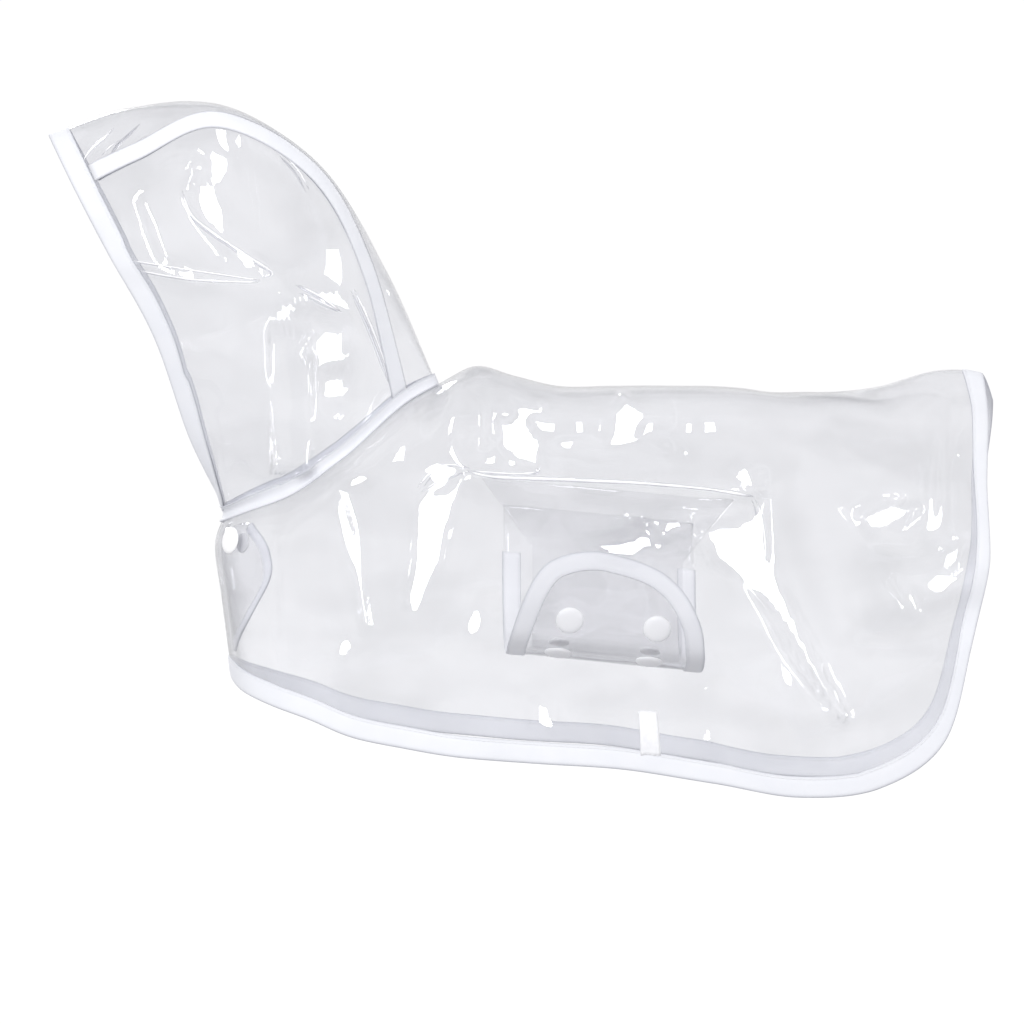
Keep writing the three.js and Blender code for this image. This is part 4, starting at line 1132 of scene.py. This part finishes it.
flapEnd = len(chestFlap["outline"]) - 1
flapRays = [[flapPlace(flapEnd * i / chestFlap["steps"], 1 - k / chestFlap["rings"])
             for k in range(chestFlap["rings"] + 1)] for i in range(chestFlap["steps"] + 1)]
flapSurface = {"points": [[p for p, _ in ray] for ray in flapRays],
               "normals": [[n for _, n in ray] for ray in flapRays]}
flapPiece = filmPiece("chestFlapFilm", flapSurface, "chest_flap")
tapeStep = (chestFlap["tapeEnd"] - chestFlap["tapeStart"]) / chestFlap["tapeSteps"]
tapePlaces = [chestFlap["tapeStart"] + tapeStep * k for k in range(chestFlap["tapeSteps"] + 1)]
flapStations = [lambda inset, place=place: flapStation(place, inset) for place in tapePlaces]
flapTapePiece = foldedTape("chestFlapBinding", flapStations, "chest_flap_tape", chestFlap["tape"])
print("strap, tab and flap made")


# Snaps and label

snapShapes = {
    "cap": [(0, 2.0), (2.2, 1.96), (4.2, 1.78), (5.5, 1.48), (6.3, 1.08), (6.7, 0.62), (6.72, 0.34),
            (6.5, 0.08), (6.0, 0), (0, 0)],
    "socket": [(0, 0), (4.7, 0), (5.0, 0.25), (5.0, 0.85), (4.75, 1.05), (3.35, 1.15), (3.15, 1.4),
               (2.95, 2.0), (2.75, 2.2), (1.9, 2.2), (1.6, 2.0), (1.45, 1.2), (1.3, 1.1), (0, 1.1)],
    "turns": 56,
}


def spunPiece(name, shape, place, normal, node):
    bm = bmesh.new()
    verts = [bm.verts.new((r * metre, 0, h * metre)) for r, h in snapShapes[shape]]
    edges = [bm.edges.new(pair) for pair in zip(verts, verts[1:])]
    bmesh.ops.spin(bm, geom=verts + edges, cent=(0, 0, 0), axis=(0, 0, 1), dvec=(0, 0, 0),
                   angle=math.tau, steps=snapShapes["turns"], use_merge=True)
    bmesh.ops.remove_doubles(bm, verts=bm.verts, dist=0.000005)
    bmesh.ops.recalc_face_normals(bm, faces=bm.faces)
    turn = Vector((0, 0, 1)).rotation_difference(normal).to_matrix().to_4x4()
    bmesh.ops.transform(bm, matrix=Matrix.Translation(toMetres(place)) @ turn, verts=bm.verts)
    return finishPiece(name, bm, snapFinish, [node])


def pieceName(node):
    first, *rest = node.split("_")
    return first + "".join(word.title() for word in rest) + "Piece"


for item in bellySnaps:
    cut = strapCut(item["section"])
    outside = strapPoint(cut, item["x"], 0)
    inside = strapPoint(cut, item["x"], tabDepth + coat["wall"] + snapSeat)
    spunPiece(pieceName(item["name"]), "cap", outside, cut["normal"], item["name"])
    socket = item["name"] + "_socket"
    spunPiece(pieceName(socket), "socket", inside, -cut["normal"], socket)

chestPoint, chestNormal = onSurface(body, chestSnap["section"], chestSnap["drop"])
spunPiece("chestSnapPiece", "cap", chestPoint + chestNormal * coat["seamGap"], chestNormal, "chest_snap")
spunPiece("chestSnapSocketPiece", "socket",
          chestPoint - chestNormal * (flapDepth(chestSnap["section"]) + coat["wall"] + chestSnap["seat"]),
          -chestNormal, "chest_snap_socket")


def labelSurface():
    row = body["near"]["points"][round(label["section"] * coat["stepsPerSection"])]
    foot = rowLength(row) - coat["tapeWidth"] - label["clear"]
    rows, columns = label["rows"], label["columns"]
    points, normals = [], []
    for i in range(rows + 1):
        sections = [label["section"] + label["width"] * (v / columns - 0.5) for v in range(columns + 1)]
        line = [onSurface(body, section, foot - label["height"] * i / rows) for section in sections]
        swell = label["belly"] * math.sin(math.pi * i / rows) ** 2
        lift = label["foot"] + label["rise"] * clamp(i / 3) + swell
        points.append([p + n * lift for p, n in line])
        normals.append([n for _, n in line])
    return {"points": points, "normals": normals}


labelPiece = finishPiece("hemLabelRibbon", clothMesh(labelSurface()), labelFinish,
                         ["hem_label"])
thicken(labelPiece, label["thickness"])
print("snaps and label made")


# Stage, lights and camera

stage = {
    "floorHeight": -0.27, "flat": 3.3, "bend": 1.1, "wall": 2.4,    # metres
    "glow": 0.92, "albedo": 0.12,
}


def makeStage():
    bm = bmesh.new()
    radius, bend, low = stage["flat"], stage["bend"], stage["floorHeight"]
    profile = [(0, low), (radius / 2, low), (radius, low)]
    profile += [(radius + bend * math.sin(a), low + bend * (1 - math.cos(a)))
                for a in [math.pi / 2 * k / 12 for k in range(1, 13)]]
    profile.append((radius + bend, low + bend + stage["wall"]))
    verts = [bm.verts.new((r, 0, z)) for r, z in profile]
    edges = [bm.edges.new(pair) for pair in zip(verts, verts[1:])]
    bmesh.ops.spin(bm, geom=verts + edges, cent=(0, 0, 0), axis=(0, 0, 1), dvec=(0, 0, 0),
                   angle=math.tau, steps=96, use_merge=True)
    bmesh.ops.remove_doubles(bm, verts=bm.verts, dist=0.0001)
    for face in bm.faces:
        face.smooth = True
    mesh = bpy.data.meshes.new("floor")
    bm.to_mesh(mesh)
    bm.free()
    floor = bpy.data.objects.new("floor", mesh)
    bpy.context.scene.collection.objects.link(floor)
    finish = Finish(bpy.data.materials.new("paleFloor"))
    matte = finish.node("BsdfDiffuse", {}, {"Color": (stage["albedo"],) * 3 + (1,)})
    glow = finish.node("Emission", {}, {"Color": (1, 1, 1, 1), "Strength": stage["glow"]})
    mesh.materials.append(finish.surface(finish.node("AddShader", {}, {0: matte, 1: glow})))
    floor.visible_glossy = False
    floor.visible_diffuse = False
    finish.owner.cycles.emission_sampling = "NONE"


# Turned from straight in front towards the tail, and raised, in degrees. Sizes are in metres.
softboxes = named(("name", "turn", "elevation", "size", "power", "fill"), [
    ("keyBox", -18, 18, (0.46, 1.05), 21, True),
    ("frontBox", 2, 50, (0.36, 0.5), 8, False),
    ("sideBox", 54, 6, (0.5, 0.65), 10, False),
    ("farKeyBox", 198, 18, (0.46, 1.05), 15, True),
    ("farSideBox", 126, 6, (0.5, 0.65), 8, False),
])
studio = {    # light from all round: from below, at eye level and from above, and how uneven it is
    "stops": [(0.30, (0.56, 0.56, 0.58, 1)), (0.47, (0.98, 0.98, 0.99, 1)), (0.62, (0.98, 0.98, 0.99, 1)),
              (0.95, (0.84, 0.84, 0.86, 1))],
    "patchSize": 2.3, "patchLow": 0.8, "patchHigh": 1.16,
    "boxAway": 2.4, "boxTarget": (-0.04, 0, -0.05),
}


def makeLights():
    target = Vector(studio["boxTarget"])
    for box in softboxes:
        turn, elevation = math.radians(box["turn"]), math.radians(box["elevation"])
        toward = Vector((math.sin(turn) * math.cos(elevation), -math.cos(turn) * math.cos(elevation),
                         math.sin(elevation)))
        light = bpy.data.lights.new(box["name"], "AREA")
        light.shape = "RECTANGLE"
        light.size, light.size_y = box["size"]
        light.energy = box["power"]
        lamp = bpy.data.objects.new(box["name"], light)
        lamp.location = target + toward * studio["boxAway"]
        lamp.rotation_mode = "QUATERNION"
        lamp.rotation_quaternion = (target - lamp.location).to_track_quat("-Z", "Y")
        lamp.visible_camera = False
        lamp.visible_diffuse = box["fill"]
        bpy.context.scene.collection.objects.link(lamp)
    world = bpy.data.worlds.new("studio")
    bpy.context.scene.world = world
    finish = Finish(world)
    direction = finish.node("TexCoord")
    up = finish.node("SeparateXYZ", {}, {"Vector": direction}, out=2)
    level = finish.node("ValToRGB", {"stops": studio["stops"]}, {"Fac": up * 0.5 + 0.5})
    patches = finish.step(finish.noise(direction, studio["patchSize"], 1, (1, 1, 1.6)), 0.35, 0.65)
    strength = patches * (studio["patchHigh"] - studio["patchLow"]) + studio["patchLow"]
    finish.surface(finish.node("Background", {}, {"Color": level, "Strength": strength}), "OutputWorld")


view = {    # in degrees, metres and, for the lens, millimetres
    "azimuth": -2, "elevation": 3, "distance": 3.5, "target": (-0.04399, 0, -0.06196), "lens": 247.3,
}


def makeCamera():
    azimuth, elevation = math.radians(view["azimuth"]), math.radians(view["elevation"])
    back = Vector((math.sin(azimuth) * math.cos(elevation), -math.cos(azimuth) * math.cos(elevation),
                   math.sin(elevation)))
    lens = bpy.data.cameras.new("camera")
    lens.sensor_width = 36
    lens.lens = view["lens"]
    camera = bpy.data.objects.new("camera", lens)
    camera.location = Vector(view["target"]) + back * view["distance"]
    camera.rotation_mode = "QUATERNION"
    camera.rotation_quaternion = (-back).to_track_quat("-Z", "Y")
    bpy.context.scene.collection.objects.link(camera)
    bpy.context.scene.camera = camera


makeStage()
makeLights()
makeCamera()
scene = bpy.context.scene
scene.view_settings.view_transform = "Standard"
scene.cycles.transparent_max_bounces = 48
scene.cycles.max_bounces = 5
scene.cycles.diffuse_bounces = 2
scene.cycles.glossy_bounces = 3
print("stage, lights and camera made")
